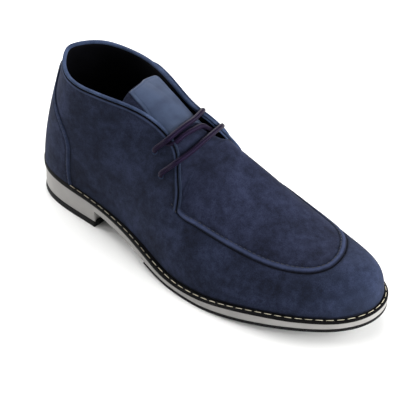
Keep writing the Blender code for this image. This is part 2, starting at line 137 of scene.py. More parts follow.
# Thickness of each leather
QUARTER_WALL = 1.2
TONGUE_WALL = 1.6
PANEL_WALL = 0.9                # counter and label
LINING_WALL = 0.4
LINING_DEPTH = 1.5              # how far inside the skin it lies

# How far in from their edge or seam the stitches and folds lie
EDGE_GROOVE, EDGE_RIDGE, EDGE_CREASE = 0.75, 2.3, 4.2
APRON_RIDGE = 2.2               # half the ridge's width
APRON_STITCHES = 4.7
COUNTER_OUTER, COUNTER_INNER = 1.2, 3.6


# ---- Curves
def smooth(at, knots, values):
    """Natural cubic spline through the knots: each span is the line between its ends plus
    the cubic whose second derivative runs straight from one end's bend to the other's."""
    steps = np.diff(knots)
    system = np.eye(len(knots))
    inner = np.arange(1, len(knots) - 1)
    system[inner, inner - 1] = steps[:-1]
    system[inner, inner] = 2 * (steps[:-1] + steps[1:])
    system[inner, inner + 1] = steps[1:]
    bend = np.linalg.solve(system, np.pad(6 * np.diff(np.diff(values) / steps), 1))
    i = np.clip(np.searchsorted(knots, at) - 1, 0, len(steps) - 1)
    after = (at - knots[i]) / steps[i]
    before = 1 - after
    curve = (before ** 3 - before) * bend[i] + (after ** 3 - after) * bend[i + 1]
    return before * values[i] + after * values[i + 1] + curve * steps[i] ** 2 / 6


def curve(sizes, column, at):
    """Smooth curve of a table's column over its first column."""
    return smooth(at, next(iter(sizes.values())), sizes[column])


def straight(sizes, at):
    """A table's second column over its first, straight from row to row."""
    return np.interp(at, *sizes.values())


def spline(points, knots, at):
    """Smooth line through points, at places among their knots."""
    return np.stack([smooth(at, knots, column) for column in points.T], axis=-1)


def read(line, knots, at):
    """A line of points at places among their knots, straight from point to point."""
    return np.stack([np.interp(at, knots, column) for column in line.T], axis=-1)


def run_length(points):
    """Distance along a line of points, from 0."""
    steps = np.linalg.norm(np.diff(points, axis=-2), axis=-1)
    start = np.zeros(steps.shape[:-1] + (1,))
    return np.concatenate([start, np.cumsum(steps, axis=-1)], axis=-1)


def along(points, fraction):
    """Points at fractions of the length of a line."""
    length = run_length(points)
    return read(points, length, np.asarray(fraction) * length[-1])


def three_laps(points):
    """A closed line gone round three times, so that its middle lap is smooth all round, and
    its knots: the square roots of its steps, added up."""
    laps = np.concatenate([points, points, points, points[:1]])
    steps = np.linalg.norm(np.diff(laps, axis=0), axis=1) ** 0.5
    return laps, np.concatenate([[0], np.cumsum(steps)])


def unit(vectors):
    """Vectors divided by their lengths."""
    return vectors / np.maximum(np.linalg.norm(vectors, axis=-1, keepdims=True), 1e-12)


def step(low, high, value):
    """Smooth step: 0 below low, 1 above high, and 3t^2 - 2t^3 between."""
    t = np.clip((value - low) / (high - low), 0, 1)
    return t * t * (3 - 2 * t)


def hump(distance, width):
    """Bell of height 1 over a distance, exp(-(distance / width)^2)."""
    return np.exp(-(distance / width) ** 2)


# ---- Sole outline and foot of the upper
def sole_top(forward):
    """Height of the sole's plain top."""
    return np.maximum(curve(SOLE_TOP, "height", forward), TREAD_TOP)


def tip_foremost(line):
    """A line that ends at the toe, held back by 0.004 of the length left, so that its last
    point is its foremost."""
    left = run_length(line)[-1] - run_length(line)
    line[:, 0] = np.minimum(line[:, 0], line[-1, 0] - 0.004 * left)
    return line


def sole_edge():
    """The closed outline as two dense lines, {side: points}, each from heel to toe."""
    lateral, medial = points_of(LATERAL_EDGE), points_of(MEDIAL_EDGE)
    lap = np.concatenate([lateral, medial[-2:0:-1]])
    laps, knots = three_laps(lap)
    toe = len(lap) + len(lateral) - 1

    def line(first):
        return tip_foremost(spline(laps, knots, np.linspace(knots[first], knots[toe], 500)))

    return {LATERAL: line(len(lap)), MEDIAL: line(2 * len(lap))}


EDGE = sole_edge()
ORIGIN = np.array([LENGTH / 2, (EDGE[LATERAL][:, 1].min() + EDGE[MEDIAL][:, 1].max()) / 2, 0])


def inset_edge(side, inset):
    """One side of the outline moved inwards, and the level directions outwards along it."""
    there = EDGE[side]
    other = EDGE[-side]
    ring = np.concatenate([other[1:2], there, other[-2:-1]])
    direction = unit(ring[2:] - ring[:-2])
    outwards = np.stack([-direction[:, 1], direction[:, 0]], axis=1) * side
    return there - outwards * np.reshape(inset, (-1, 1)), outwards


def feather_inset(side):
    """How far in from the outline the upper meets the welt."""
    return curve(FEATHER_INSET, "inset", EDGE[side][:, 0])


def foot_drop(forward):
    """How far the foot of the upper is pulled down on to the welt."""
    return straight(FOOT_DROP, forward)


def foot_line(side):
    """Dense line of the foot of the upper, just over the welt, from heel to toe, with the
    level direction outwards in the last columns."""
    line, outwards = inset_edge(side, feather_inset(side))
    line = tip_foremost(line)
    height = sole_top(line[:, 0]) + WELT + GAP
    return np.column_stack([line, height, outwards, 0 * height])


FOOT = {side: foot_line(side) for side in SIDES}
TIP = FOOT[LATERAL][-1, 0]


def foot_at(side, forward):
    """Foot points and outward directions at forward positions."""
    line = FOOT[side]
    values = read(line, np.maximum.accumulate(line[:, 0]), forward)
    return values[..., :3], values[..., 3:]


def foot_share(side, share):
    """Foot points and outward directions at shares of the way from the heel to the throat."""
    line = FOOT[side]
    length = run_length(line[:, :3])
    values = read(line, length, share * np.interp(THROAT, line[:, 0], length))
    return values[..., :3], values[..., 3:]


# ---- Skin of the upper
def section_value(side, column, forward):
    """Power or bulge of the sections of one side."""
    return curve(SECTION, f"{NAMES[side]}_{column}", forward)


def rise(angle, power):
    """Shares of the way inwards and upwards at an angle up a rounded section: one less the
    cosine to a power, and the sine to the same power."""
    return 1 - np.cos(angle) ** power, np.sin(angle) ** power


def swell(side, forward, share):
    """Bulge of the wall, a squared sine from its foot (0) to the top of the quarter (1)."""
    amount = section_value(side, "bulge", forward)
    return (amount * np.sin(math.pi * np.clip(share, 0, 1)) ** 2)[..., None]


def crest(forward):
    """Points along the crest of the instep, and its slope there."""
    point = np.stack([forward, curve(CREST, "sideways", forward),
                      curve(CREST, "height", forward)], axis=-1)
    return point, (curve(CREST, "height", forward + 0.1) - point[..., 2]) / 0.1


def toe_lean(forward):
    """How far back the top of a section leans: the square of the part of the way to the
    tip, times TOE_REACH."""
    return TOE_REACH * np.clip((forward - TOE_REACH_START) / (TIP - TOE_REACH_START), 0, 1) ** 2


def forepart(side, forward, angle):
    """Skin of the forepart: each section runs from the foot inwards and up to the crest on
    the shares of rise(), leans back near the tip, and follows the slope of the crest."""
    forward, angle = np.broadcast_arrays(forward, angle)
    foot, outwards = foot_at(side, forward)
    top, slope = crest(forward - toe_lean(forward))
    inwards, upwards = rise(angle, section_value(side, "power", forward))
    point = foot + (top - foot) * inwards[..., None]
    drop = slope * (foot[..., 0] - top[..., 0]) * (1 - inwards) * upwards
    point[..., 2] = foot[..., 2] + (top - foot)[..., 2] * upwards + drop
    share = angle / math.radians(CORNER_ANGLE[side])
    return point + outwards * swell(side, forward, share)


def quarter_edge(side):
    """Dense line of the top of a quarter, from the back of the collar to the throat."""
    rows = points_of(QUARTER_EDGE) * (1, side, 1)
    round_the_back = rows[3:0:-1] * (1, -1, 1)
    corner = forepart(side, THROAT, math.radians(CORNER_ANGLE[side]))
    points = np.vstack([round_the_back, rows, corner])
    knots = run_length(points)
    return spline(points, knots, np.linspace(knots[3], knots[-1], 400))


TOP = {side: quarter_edge(side) for side in SIDES}


def quarter(side, share, climb):
    """Skin of a quarter: share runs from the back (0) to the throat (1), climb from the foot
    (0) to the top edge (1) on the shares of rise()."""
    share, climb = np.broadcast_arrays(share, climb)
    foot, outwards = foot_share(side, share)
    top = along(TOP[side], share)
    turn = np.radians(COLLAR_ANGLE + (CORNER_ANGLE[side] - COLLAR_ANGLE) * share ** 2)
    power = section_value(side, "power", foot[..., 0])
    inwards, upwards = rise(turn * climb, power)
    whole_in, whole_up = rise(turn, power)
    point = foot + (top - foot) * (inwards / whole_in)[..., None]
    point[..., 2] = foot[..., 2] + (top - foot)[..., 2] * upwards / whole_up
    return point + outwards * swell(side, foot[..., 0], climb)


def outwards_at(side, share, climb, near=0.004):
    """Unit normals of a quarter, square to the lines between its points a share and a climb
    of near ahead and behind, and above and below."""
    share, climb = np.broadcast_arrays(share, climb)
    ahead, above = np.minimum(share + near, 1), np.minimum(climb + near, 1)
    forwards = quarter(side, ahead, climb) - quarter(side, ahead - 2 * near, climb)
    upwards = quarter(side, share, above) - quarter(side, share, above - 2 * near)
    return unit(np.cross(forwards, upwards) * -side)


def two_sided(forward, turn):
    """The forepart on both sides of its crest: turn is in degrees down from the crest,
    lateral negative."""
    forward, turn = np.broadcast_arrays(forward, turn)
    angle = np.radians(np.clip(90 - np.abs(turn), 0, 90))
    lateral = forepart(LATERAL, forward, angle)
    medial = forepart(MEDIAL, forward, angle)
    return np.where(turn[..., None] < 0, lateral, medial)


def by_side(side, value):
    """Each position's number from its own side, where value gives a side's numbers."""
    return np.where(side < 0, value(LATERAL), value(MEDIAL))


def section_of(forward, sideways):
    """Section and turn at plan positions on the forepart: the section whose line from its
    foot to its top passes over the position, found by repeated substitution."""
    side = np.where(sideways < curve(CREST, "sideways", forward), LATERAL, MEDIAL)
    section = forward
    for _ in range(16):
        lean = toe_lean(section)
        top = curve(CREST, "sideways", section - lean)
        foot = by_side(side, lambda one: foot_at(one, section)[0][..., 1])
        inwards = np.clip((sideways - foot) / (top - foot), 0, 1)
        section = forward + lean * inwards
    power = by_side(side, lambda one: section_value(one, "power", section))
    return section, side * np.degrees(np.arcsin((1 - inwards) ** (1 / power)))


def seam_at(u):
    """Section and turn of the apron seam at u, 0 at the lateral throat, 1 at the medial."""
    rows = points_of(APRON_SEAM)
    knots = run_length(rows)
    return section_of(*spline(rows, knots, u * knots[-1]).T)


SEAM_STEPS = np.linspace(0.3, 0.7, 2001)
TOE_U = SEAM_STEPS[np.abs(seam_at(SEAM_STEPS)[1]).argmin()]     # where it crosses the crest


def even_rows(lines, fractions):
    """Each line of a stack resampled at fractions of its own length."""
    length = run_length(lines)
    fractions = np.broadcast_to(fractions, (len(lines), np.shape(fractions)[-1]))
    return np.array([read(line, reach, part * reach[-1])
                     for line, reach, part in zip(lines, length, fractions)])


def seam_part(u):
    """Share of the way from either throat along the seam to the toe."""
    return np.where(u <= TOE_U, u / TOE_U, (1 - u) / (1 - TOE_U))


def vamp_grid(u, fractions):
    """The vamp from the apron seam (fraction 0) down to the foot (1). Rows fan out: their
    feet share out the foot line as u shares out the seam. At the toe a row first runs
    forwards to the tip and then down, so that both sides meet in one line."""
    forward, turn = seam_at(u)
    lateral = u <= TOE_U
    part = seam_part(u)
    foot = np.zeros_like(u)
    for side, mask in ((LATERAL, lateral), (MEDIAL, ~lateral)):
        line = FOOT[side][:, :3]
        length = run_length(line)
        begin = np.interp(THROAT, line[:, 0], length)
        at = begin + part[mask] * (length[-1] - begin)
        foot[mask] = np.interp(at, length, np.maximum.accumulate(line[:, 0]))
    forward = np.where(part >= 1, np.minimum(forward, TIP), forward)
    bend = hump(1 - part, 0.2)[:, None]
    t = np.linspace(0, 1, 90)
    ahead = np.clip(t * (1 + bend), 0, 1)
    down = np.clip(t * (1 + bend) - bend, 0, 1)
    whole = np.where(lateral, -90.0, 90.0)
    lines = two_sided(forward[:, None] + (foot - forward)[:, None] * ahead,
                      turn[:, None] + (whole - turn)[:, None] * down)
    return even_rows(lines, fractions)


def apron_grid(u, fractions):
    """The apron from its seam (fraction 0) in to the crest (1), row by row along the seam."""
    forward, turn = seam_at(u)
    spine = THROAT + (APRON_SPINE_END - THROAT) * seam_part(u)
    t = np.linspace(0, 1, 60)
    lines = two_sided(forward[:, None] + (spine - forward)[:, None] * t,
                      turn[:, None] * (1 - t))
    return even_rows(lines, fractions)


def distance_to(line, points):
    """Distance from points to the nearest point of a dense line, 40 of its points a time."""
    flat = points.reshape(-1, 3)
    best = np.full(len(flat), np.inf)
    for start in range(0, len(line), 40):
        gap = np.linalg.norm(flat[:, None] - line[None, start:start + 40], axis=2)
        best = np.minimum(best, gap.min(axis=1))
    return best.reshape(points.shape[:-1])


# ---- Meshes
def to_frame(points):
    """Millimetres from the back of the heel as metres from under the middle of the boot."""
    return (np.asarray(points) - ORIGIN) * MM


def quads(points, flip=False, close_rows=False, close_columns=False):
    """Points of a grid and its faces. An unflipped face shows the side that the column
    direction crossed with the row direction points to."""
    rows, columns = points.shape[:2]
    i = np.arange(rows if close_rows else rows - 1)[:, None]
    j = np.arange(columns if close_columns else columns - 1)[None, :]
    below, beside = (i + 1) % rows, (j + 1) % columns
    faces = np.stack([i * columns + j, i * columns + beside,
                      below * columns + beside, below * columns + j], axis=-1).reshape(-1, 4)
    return points.reshape(-1, 3), faces[:, ::-1] if flip else faces


def piece(name, grids, finish, slot, replaces=(), wall=0.0, lined=None, **values):
    """One object from several grids: doubles are merged, and a wall of some millimetres is
    made inwards. values are attributes for the material, a number for each point."""
    points = np.concatenate([grid[0] for grid in grids])
    starts = np.cumsum([0] + [len(grid[0]) for grid in grids[:-1]])
    faces = np.concatenate([grid[1] + start for grid, start in zip(grids, starts)])
    mesh = bpy.data.meshes.new(name)
    mesh.from_pydata(to_frame(points).tolist(), [], faces.tolist())
    for key, numbers in values.items():
        held = mesh.attributes.new(key, "FLOAT", "POINT")
        held.data.foreach_set("value", np.ravel(numbers).astype(np.float32))
    work = bmesh.new()
    work.from_mesh(mesh)
    bmesh.ops.remove_doubles(work, verts=work.verts, dist=0.000004)
    bmesh.ops.dissolve_degenerate(work, edges=work.edges, dist=0.000002)
    work.to_mesh(mesh)
    work.free()
    mesh.materials.append(finish)
    mesh.shade_smooth()
    item = bpy.data.objects.new(name, mesh)
    bpy.context.collection.objects.link(item)
    if wall:
        if lined:
            mesh.materials.append(lined)
        made = item.modifiers.new("wall", "SOLIDIFY")
        made.thickness = wall * MM
        made.offset = -1
        made.material_offset = 1 if lined else 0
    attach(item, "root")
    if replaces:
        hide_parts(*replaces)
    return item


def face_normals(grid):
    """Unit normals of a grid, on the side that its unflipped faces show."""
    return unit(np.cross(np.gradient(grid, axis=1), np.gradient(grid, axis=0)))


def swept(path, across, up, profile):
    """Profile points (across, up) carried along a path on given frames: row i is the path's
    point i plus the profile's two numbers times the frame's two directions."""
    profile = np.broadcast_to(profile, (len(path),) + profile.shape[-2:])
    return path[:, None] + across[:, None] * profile[..., :1] + up[:, None] * profile[..., 1:]


def round_loop(points, count):
    """Closed smooth loop of count points through a few corner points of a profile."""
    laps, knots = three_laps(np.array(points, float))
    first, last = knots[len(points)], knots[2 * len(points)]
    return spline(laps, knots, np.linspace(first, last, count + 1)[:-1])


def circle(count):
    """Points (cosine, sine) evenly round a circle of radius 1."""
    turn = np.linspace(0, 2 * math.pi, count + 1)[:-1]
    return np.stack([np.cos(turn), np.sin(turn)], axis=1)


def with_ends(grid):
    """A closed tube's rows with both ends drawn in to a point."""
    middle = np.repeat(grid[[0, -1]].mean(axis=1, keepdims=True), grid.shape[1], axis=1)
    return np.concatenate([middle[:1], grid, middle[1:]])


def stitches(line, up, length, pitch, width, height):
    """Grid of every stitch along a line: a capsule whose radius falls off as the fourth root
    of 1 - a^4 towards its ends, flattened to a width and a height, pitch apart."""
    reach = run_length(line)
    count = int(reach[-1] / pitch)
    at = (np.arange(count) + 0.5) * reach[-1] / count
    centre = read(line, reach, at)
    tangent = unit(read(np.gradient(line, axis=0), reach, at))
    rise_to = unit(read(up, reach, at))
    beside = unit(np.cross(rise_to, tangent))
    a = np.array([-1, -0.85, -0.4, 0.4, 0.85, 1.0])
    taper = (1 - a ** 4) ** 0.25
    oval = circle(6) * (width / 2, height)
    ring = beside[:, None, None] * oval[:, :1] + rise_to[:, None, None] * oval[:, 1:]
    points = (centre[:, None, None] + tangent[:, None, None] * (a * length / 2)[:, None, None]
              + ring * taper[:, None, None])
    one = quads(points[0], close_columns=True)[1]
    starts = np.arange(count)[:, None, None] * points.shape[1] * points.shape[2]
    return points.reshape(-1, 3), (one[None] + starts).reshape(-1, 4)


# ---- Materials
def linear(colour):
    """Linear RGBA from an sRGB hex colour."""
    levels = [int(colour[i:i + 2], 16) / 255 for i in (1, 3, 5)]
    return (*[v / 12.92 if v <= 0.04045 else ((v + 0.055) / 1.055) ** 2.4 for v in levels], 1.0)


def node(tree, kind, links=(), stops=(), fixed=(), **settings):
    """Adds a shader node. settings are its properties, or by input name its values; fixed
    are (input's number, value); links are (input, other node, its output); stops are a
    ramp's (position, sRGB hex)."""
    made = tree.nodes.new(kind)
    for key, value in settings.items():
        if hasattr(made, key):
            setattr(made, key, value)
        else:
            made.inputs[key.replace("_", " ")].default_value = value
    for socket, value in fixed:
        made.inputs[socket].default_value = value
    for socket, other, output in links:
        tree.links.new(other.outputs[output], made.inputs[socket])
    if stops:
        bar = made.color_ramp.elements
        while len(bar) < len(stops):
            bar.new(0.5)
        for element, (position, colour) in zip(bar, stops):
            element.position = position
            element.color = linear(colour)
    return made


def finish_named(name, colour, roughness, **sockets):
    """Principled material, its tree, and the link that gives a texture its place."""
    made = bpy.data.materials.new(name)
    made.use_nodes = True
    tree = made.node_tree
    shader = tree.nodes["Principled BSDF"]
    shader.inputs["Base Color"].default_value = linear(colour)
    shader.inputs["Roughness"].default_value = roughness
    for key, value in sockets.items():
        shader.inputs[key.replace("_", " ")].default_value = value
    return made, tree, [("Vector", node(tree, "ShaderNodeTexCoord"), "Object")]


def completed(made, colour, output, relief):
    """The material with its colour and its relief linked to its shader."""
    shader = made.node_tree.nodes["Principled BSDF"]
    made.node_tree.links.new(colour.outputs[output], shader.inputs["Base Color"])
    made.node_tree.links.new(relief.outputs["Normal"], shader.inputs["Normal"])
    return made


def with_painted_shade(tree, rub, colour, output):
    """A colour that goes to the dark of painted shade in a crease or seam as the painted-light
    attribute goes from 0 to -1.
    """
    shade_amount = node(tree, "ShaderNodeMath", [(0, rub, "Fac")], operation="MULTIPLY",
                   fixed=[(1, -1.0)])
    return node(tree, "ShaderNodeMix", [(0, shade_amount, 0), (6, colour, output)],
                data_type="RGBA", fixed=[(7, linear("#0A0C13"))])


def suede(name, dark, middle, light, rubbed, sheen=0.07):
    """Split leather buffed to a short nap: no gloss, a soft sheen at grazing angles, cloudy
    patches a few centimetres wide where the nap lies different ways, mottling of 3 to 6 mm,
    and a fine fibre grain. The fibres are about 0.1 mm and are drawn as 0.5 mm grain. Above 0
    the painted-light attribute paints a highlight on folds and ridges, and below 0 it paints
    shade in creases and seams."""
    made, tree, place = finish_named(
        name, middle, 0.95, Sheen_Weight=sheen, Sheen_Roughness=0.45,
        Sheen_Tint=linear("#8C97B8"), Specular_IOR_Level=0.08)
    patches = node(tree, "ShaderNodeTexNoise", place, Scale=38.0, Detail=3.0, Roughness=0.55,
                   Distortion=0.6)
    mottle = node(tree, "ShaderNodeTexNoise", place, Scale=210.0, Detail=4.0, Roughness=0.62)
    grain = node(tree, "ShaderNodeTexNoise", place, Scale=1500.0, Detail=3.0, Roughness=0.7)
    cloud = node(tree, "ShaderNodeMix", [(2, patches, "Fac"), (3, mottle, "Fac")],
                 data_type="FLOAT", Factor=0.45)
    speck = node(tree, "ShaderNodeMix", [(2, cloud, 0), (3, grain, "Fac")],
                 data_type="FLOAT", Factor=0.36)
    tint = node(tree, "ShaderNodeValToRGB", [("Fac", speck, 0)],
                stops=((0.4, dark), (0.5, middle), (0.6, light)))
    # Above 0 the attribute adds a painted highlight; below 0 it mixes in painted shade
    rub = node(tree, "ShaderNodeAttribute", attribute_name="rub")
    with_highlight = node(tree, "ShaderNodeMix", [(0, rub, "Fac"), (6, tint, "Color")],
                data_type="RGBA", blend_type="ADD", fixed=[(7, linear(rubbed))])
    nap = node(tree, "ShaderNodeBump", [("Height", grain, "Fac")], Strength=0.35,
               Distance=0.0002)
    soft = node(tree, "ShaderNodeBump", [("Height", mottle, "Fac"), ("Normal", nap, "Normal")],
                Strength=0.2, Distance=0.0006)
    return completed(made, with_painted_shade(tree, rub, with_highlight, 2), 2, soft)


def leather(name, dark, light, roughness, grain_size, strength, **sockets):
    """Smooth grain leather: fine pebbles with slightly darker valleys. Below 0 the painted-light
    attribute darkens it with painted shade."""
    made, tree, place = finish_named(name, light, roughness, **sockets)
    pebbles = node(tree, "ShaderNodeTexVoronoi", place, Scale=1 / grain_size, Randomness=1.0)
    clouds = node(tree, "ShaderNodeTexNoise", place, Scale=90.0, Detail=3.0)
    tint = node(tree, "ShaderNodeValToRGB", [("Fac", clouds, "Fac")],
                stops=((0.35, dark), (0.65, light)))
    # Below 0 the attribute mixes in painted shade
    rub = node(tree, "ShaderNodeAttribute", attribute_name="rub")
    relief = node(tree, "ShaderNodeBump", [("Height", pebbles, "Distance")],
                  Strength=strength, Distance=0.00025)
    return completed(made, with_painted_shade(tree, rub, tint, "Color"), 2, relief)


def moulded(name, dark, light, roughness, scale, strength, **sockets):
    """Moulded foam or rubber: an even colour with faint clouding and a fine cast skin."""
    made, tree, place = finish_named(name, light, roughness, **sockets)
    clouds = node(tree, "ShaderNodeTexNoise", place, Scale=60.0, Detail=4.0)
    skin = node(tree, "ShaderNodeTexNoise", place, Scale=scale, Detail=2.0)
    tint = node(tree, "ShaderNodeValToRGB", [("Fac", clouds, "Fac")],
                stops=((0.3, dark), (0.7, light)))
    relief = node(tree, "ShaderNodeBump", [("Height", skin, "Fac")],
                  Strength=strength, Distance=0.0002)
    return completed(made, tint, "Color", relief)


def waxed_cord(name, dark, light):
    """Round braided cotton lace, waxed: strands 0.9 mm apart cross at an angle to its run and
    catch a soft highlight. The braid is the product of two sines, each of 2 pi times the
    strands along it plus or minus 4 times its turns. Attributes run (mm along) and turn
    (turns round) follow it."""
    made, tree, _ = finish_named(name, light, 0.45, Specular_IOR_Level=0.1,
                                 Specular_Tint=linear("#A58BD0"))
    run = node(tree, "ShaderNodeAttribute", attribute_name="run")
    turn = node(tree, "ShaderNodeAttribute", attribute_name="turn")
    waves = []
    for lean in (4.0, -4.0):
        part = node(tree, "ShaderNodeMath", [(0, turn, "Fac")], operation="MULTIPLY",
                    fixed=[(1, lean)])
        total = node(tree, "ShaderNodeMath", [(0, run, "Fac"), (2, part, 0)],
                     operation="MULTIPLY_ADD", fixed=[(1, 1 / 1.8)])
        angle = node(tree, "ShaderNodeMath", [(0, total, 0)], operation="MULTIPLY",
                     fixed=[(1, 2 * math.pi)])
        waves.append(node(tree, "ShaderNodeMath", [(0, angle, 0)], operation="SINE"))
    braid = node(tree, "ShaderNodeMath", [(0, waves[0], 0), (1, waves[1], 0)],
                 operation="MULTIPLY")
    level = node(tree, "ShaderNodeMapRange", [("Value", braid, 0)], From_Min=-1.0, From_Max=1.0)
    tint = node(tree, "ShaderNodeValToRGB", [("Fac", level, "Result")],
                stops=((0.1, dark), (0.8, light)))
    relief = node(tree, "ShaderNodeBump", [("Height", level, "Result")],
                  Strength=0.5, Distance=0.0002)
    return completed(made, tint, "Color", relief)


# Suede: navy, darker on the quarters. The folded edges get a lighter copy of it, a painted
# highlight on their rounded tops. The fourth colour of each is added as painted highlight
# on ridges and folds.
quarter_suede = suede("navy_suede_quarters", "#10131E", "#1A1F2F", "#272D42", "#2E384E")
apron_suede = suede("navy_suede_apron", "#111420", "#1C2031", "#282D42", "#2E364C")
edge_suede_highlit = suede("folded_suede_edge_highlit", "#252F44", "#313C54", "#3E4A64", "#3A465E", sheen=0.05)
# Threads, the black tube of painted shadow under the folded edge, and smooth leathers share
# the fine pebbles of a waxed or dressed surface
thread = leather("navy_thread", "#0B0E17", "#131826", 0.6, 0.0004, 0.1)
black_painted_edge_shadow = leather("black_painted_edge_shadow", "#030306", "#06060A", 0.8, 0.0004, 0.1,
                       Specular_IOR_Level=0.05)
label_leather = leather("blue_grey_label_leather", "#27334B", "#334059", 0.6, 0.0006, 0.12,
                        Specular_IOR_Level=0.3)
# The lining is near black: painted shade inside the boot
lining_in_shade = leather("black_lining_as_shade", "#030306", "#06060A", 0.8, 0.0008, 0.15,
                         Specular_IOR_Level=0.06)
welt_leather = leather("black_edge_dyed_welt", "#040405", "#09090A", 0.7, 0.0006, 0.15,
                       Specular_IOR_Level=0.08)
welt_thread = leather("cream_welt_thread", "#BDB59D", "#D8D0B9", 0.7, 0.0004, 0.2)
# The foam is matt, and the rubber a little glossier
midsole_foam = moulded("light_grey_moulded_foam", "#8A8886", "#959391", 0.7, 1400.0, 0.15,
                       Specular_IOR_Level=0.2)
black_rubber = moulded("black_moulded_rubber", "#0B0B0C", "#141416", 0.65, 1800.0, 0.2,
                       Specular_IOR_Level=0.12)
lace_cord = waxed_cord("waxed_maroon_lace", "#0D0914", "#1B1526")


# ---- Quarters, vamp and apron
def wall_rows(side, shares, fractions):
    """The quarter's rows from its top edge (fraction 0) down to the foot (1)."""
    lines = quarter(side, shares[:, None], np.linspace(1, 0, 90))
    return even_rows(lines, fractions)


def edge_relief(distance):
    """Relief under a folded edge, in millimetres over the distance to it: the stitch groove,
    a padded ridge behind it, and a faint crease, each a hump."""
    return (-0.5 * hump(distance - EDGE_GROOVE, 0.5) + 0.25 * hump(distance - EDGE_RIDGE, 0.9)
            - 0.16 * hump(distance - EDGE_CREASE, 0.6))


def edge_rub(distance):
    """Painted highlight on the ridge, and painted shade in the groove and crease, under a folded
    edge.
    """
    return (0.6 * hump(distance - EDGE_RIDGE, 0.9) - hump(distance - EDGE_GROOVE, 0.65)
            - 0.3 * hump(distance - EDGE_CREASE, 0.5))


def seam_relief(distance):
    """Relief of the vamp beside the apron seam: it dives 0.9 mm into the seam."""
    return -0.9 * hump(distance, 0.9) + 0.12 * hump(distance - 3.0, 1.6)


def ridge_relief(distance):
    """Relief of the apron's pinched seam ridge over the distance in from the seam: half an
    ellipse, deep on the seam's side and shallow on the apron's."""
    half = np.sqrt(np.clip(1 - ((distance - APRON_RIDGE) / APRON_RIDGE) ** 2, 0, 1))
    base = np.where(distance < APRON_RIDGE, -0.9, -0.15)
    ridge = base + (1.1 - base) * half
    beyond = distance - 2 * APRON_RIDGE
    return np.where(beyond < 0, ridge, -0.15 * hump(beyond, 1.2))


def fold_window(share):
    """Where the medial facing has its second fold."""
    return step(0.34, 0.42, share) * step(0.9, 0.8, share)


seam_forward, seam_turn = seam_at(np.linspace(0, 1, 700))
SEAM = two_sided(seam_forward, seam_turn)
SIDE_SEAM_FOOT = 0.78           # share where the medial side seam reaches the foot
LATERAL_ROWS, MEDIAL_ROWS = 150, 112
TOE_LIGHT = (292, 4, 30)        # a pool of light is painted on the toe round here
THROAT_SHADE = (158, -6, 88)    # and shade is painted round here, at the throat


def counter_edge(climbs):
    """Shares of the quarters that the heel counter reaches to, at some climbs."""
    return curve(COUNTER_EDGE, "reach", climbs)


counter_climbs = np.linspace(*COUNTER_SPAN, 160)
half_seam = np.linspace(0, 1, 121)
seam_u = np.concatenate([TOE_U * half_seam, 1 - (1 - TOE_U) * half_seam[-2::-1]])
down = np.linspace(0, 1, 72) ** 1.25
medial_shares = np.linspace(1, 0, MEDIAL_ROWS)
skin = np.concatenate([wall_rows(LATERAL, np.linspace(0, 1, LATERAL_ROWS), down),
                       vamp_grid(seam_u, down)[1:-1],
                       wall_rows(MEDIAL, medial_shares, down)])
to_edge = distance_to(np.vstack([TOP[LATERAL], TOP[MEDIAL]]), skin)
to_seam = distance_to(SEAM, skin)
seam_climb = np.linspace(0.985, 0, 200)
side_seam = quarter(MEDIAL, 1 - (1 - SIDE_SEAM_FOOT) * (1 - seam_climb) ** 0.8, seam_climb)
to_side_seam = distance_to(side_seam, skin)
counter_line = [quarter(side, counter_edge(counter_climbs), counter_climbs) for side in SIDES]
to_counter = distance_to(np.vstack(counter_line), skin)
to_foot = distance_to(np.vstack([FOOT[LATERAL], FOOT[MEDIAL]])[:, :3], skin)
by_edge = to_edge <= to_seam
lift = (np.where(by_edge, edge_relief(to_edge), 0) + seam_relief(to_seam)
        - 0.5 * hump(to_side_seam, 0.8) + 0.12 * hump(to_side_seam - 2.0, 1.0)
        - 0.5 * hump(to_foot, 1.0))
medial_rows = np.zeros((len(skin), 1))
medial_rows[-MEDIAL_ROWS:, 0] = fold_window(medial_shares)
lift = lift + 1.2 * medial_rows * hump(to_edge, 6.0)
# Painted light on the skin: a highlight on the ridge under the top edge, and shade painted in the
# edge's groove and crease, the apron seam, the medial side seam, where the foot turns down on to
# the welt and along the heel counter's edge, with a pool of light painted on the toe
rub = (np.where(by_edge, edge_rub(to_edge), 0) - 1.0 * hump(to_seam, 0.85)
       - 0.7 * hump(to_side_seam, 0.6) - 1.0 * hump(to_foot, 1.4) - 0.8 * hump(to_counter, 0.9)
       + 0.25 * hump(np.linalg.norm(skin - TOE_LIGHT, axis=-1), 38.0))
shaped = skin + face_normals(skin) * lift[..., None]
shaped[..., 2] -= foot_drop(skin[..., 0]) * hump(to_foot, 7.0)
piece("quarters_and_vamp", [quads(shaped)],
      quarter_suede, "suede", ("upper",), wall=QUARTER_WALL, lined=lining_in_shade, rub=rub)


# ---- Apron and tongue in one
THROAT_ROWS = 6                 # the ridge's stitches stop this many rows short of the throat
TACK = table("along share climb", (0, 0.915, 0.81), (1 / 3, 0.943, 0.862), (2 / 3, 0.962, 0.886),
             (1, 0.987, 0.928))
across = np.linspace(0, 1, 56) ** 1.9
apron = apron_grid(seam_u, across)
to_seam = distance_to(SEAM, apron)
window = step(-0.004, 0.008, seam_u) * step(1.004, 0.992, seam_u)
lift = ridge_relief(to_seam) * window[:, None]
# Painted highlight on the apron's seam ridge, and painted shade in the seam and along the ridge's
# stitches
apron_rub = (0.75 * hump(to_seam - APRON_RIDGE, 1.3) - 1.0 * hump(to_seam, 0.7)
             - 0.5 * hump(to_seam - APRON_STITCHES, 0.5)) * window[:, None]
apron = apron - face_normals(apron) * lift[..., None]


def row_along(grid, distance):
    """Line across the rows of a grid, at a distance from its first column, short of the
    throat. Each row's distance is its own run, of points or of directions."""
    rows = [read(row, run_length(row), distance) for row in grid]
    return np.array(rows)[THROAT_ROWS:-THROAT_ROWS]


